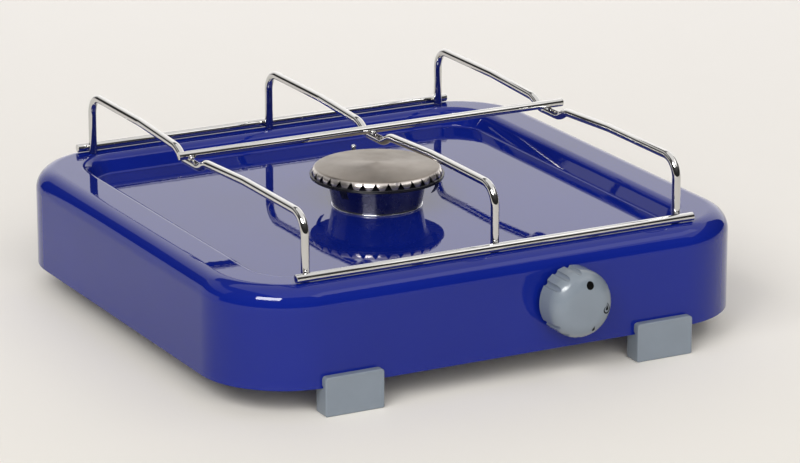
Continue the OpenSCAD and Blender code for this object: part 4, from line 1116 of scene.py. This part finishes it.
# %% Feet
PLATE, BLOCK, LUG, FOOT_H, FOOT_W, FIT = 4.6, 11.7, 3.2, 23.2, 37.0, 0.05
CORNER, LOW_CORNER, FACE_EDGE = 2.0, 1.2, 0.9
RELIEF_IN, RELIEF_LOW, RELIEF_HIGH = 1.2, 1.2, 2.0
LUG_SINK = 1


def make_foot(name, node, x, wall_y, turn):
    """One foot. The side view is (distance behind the wall's outer face, height)."""
    outer = -PLATE - FIT
    relief = -FIT - RELIEF_IN
    side = [
        (outer, 0), (outer + BLOCK, 0), (outer + BLOCK, LOWER_EDGE), (relief, LOWER_EDGE),
        (relief, LOWER_EDGE + RELIEF_LOW), (-FIT, LOWER_EDGE + RELIEF_HIGH), (-FIT, FOOT_H),
        (outer, FOOT_H)]
    bm = bmesh.new()
    face = bm.faces.new([bm.verts.new((-FOOT_W / 2, y, z)) for y, z in side])
    run = bmesh.ops.extrude_face_region(bm, geom=[face])
    bmesh.ops.translate(bm, vec=(FOOT_W, 0, 0), verts=verts_of(run["geom"]))
    bmesh.ops.recalc_face_normals(bm, faces=bm.faces)

    def at_front(v):
        return abs(v.co.y - outer) < NEAR

    def across(e, z):
        """An edge along Y that ends at the front face, at a given height."""
        a, b = e.verts
        level = abs(a.co.z - z) < NEAR and abs(b.co.z - z) < NEAR
        return level and (at_front(a) or at_front(b)) and abs(a.co.x - b.co.x) < NEAR

    round_edges(bm, [e for e in bm.edges if across(e, FOOT_H)], CORNER, 5)
    round_edges(bm, [e for e in bm.edges if across(e, 0)], LOW_CORNER, 4)
    round_edges(bm, [e for e in bm.edges if all(map(at_front, e.verts))], FACE_EDGE, 4)
    lug = bmesh.ops.create_cube(bm, size=1)
    lug_h = FOOT_H - LOWER_EDGE + 2 * LUG_SINK
    bmesh.ops.scale(bm, vec=(FOOT_W / 2, LUG, lug_h), verts=lug["verts"])
    lug_y, lug_z = SHEET + 4 * FIT + LUG / 2, (FOOT_H + LOWER_EDGE) / 2 - LUG_SINK
    bmesh.ops.translate(bm, vec=(0, lug_y, lug_z), verts=lug["verts"])
    put(bm, Matrix.Translation((x, wall_y, 0)) @ Matrix.Rotation(turn, 4, "Z"))
    foot = finish_piece(name, bm, "stove", "grey_plastic", [node], sharp=50)
    even_normals(foot)


FOOT_X = -middle_mm("foot_front_left")[0]
for side, sign in (("left", -1), ("right", 1)):
    make_foot(f"front_{side}_foot", f"foot_front_{side}", sign * FOOT_X, -HALF_D, 0)
    make_foot(f"rear_{side}_foot", f"foot_rear_{side}", sign * FOOT_X, HALF_D, math.pi)

# %% [markdown]
# ## Springs in the tap
#
# Two coil springs hide in the tap: one pushes the knob out, the other closes the flame-failure
# valve. Each is wound by spinning a ring of edges that climbs at every step. A rigid spring would
# run into its neighbours when the knob is pushed.

# %% Springs
STEPS_PER_TURN, SPRING_SIDES = 24, 12


def wind_spring(name, node, body, turns, wire):
    """A coil along Y, wound to fill a CAD node's box."""
    low, high = box_mm(node)
    length, mean_r = high.y - low.y, (high.x - low.x - wire) / 2
    steps = turns * STEPS_PER_TURN
    bm = bmesh.new()
    upright = Matrix.Translation((mean_r, 0, wire / 2)) @ Matrix.Rotation(math.pi / 2, 4, "X")
    ring = bmesh.ops.create_circle(
        bm, cap_ends=False, radius=wire / 2, segments=SPRING_SIDES, matrix=upright)["verts"]
    first = list({e for v in ring for e in v.link_edges})
    climb = (length - wire) / steps
    last = spin(bm, ring + first, 2 * math.pi * turns, steps, climb=climb)
    close_end(bm, first)
    close_end(bm, edges_of(last))
    put(bm, Matrix.Translation((TAP_X, low.y, TAP_Z)) @ Matrix.Rotation(-math.pi / 2, 4, "X"))
    piece = finish_piece(name, bm, body, "zinc_steel", [node], sharp=60)
    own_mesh(piece)


wind_spring("spindle_coil", "spindle_spring", "tap_plug", turns=6, wire=1.2)
wind_spring("safety_coil", "safety_spring", "stove", turns=5, wire=0.8)

# %% [markdown]
# ## What stays as CAD
#
# The tap, the pipes, the jet and the thermocouple's fittings sit under the body. Their CAD shapes
# are right already, so each keeps its node and gets the finish that the record names for it.

# %% Finishes for the remaining nodes
slot_of = {part["node"]: part["material_slot"] for part in frame["record"]["subparts"]}
dressed = 0
for name, node in frame["nodes"].items():
    if not node.hide_render:
        node.data.materials.clear()
        node.data.materials.append(FINISHES[slot_of[name]])
        dressed += 1
print(dressed, "CAD nodes dressed")

# %% Sizes and finish
model_low, model_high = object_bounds()
show_box("model box", model_low, model_high)
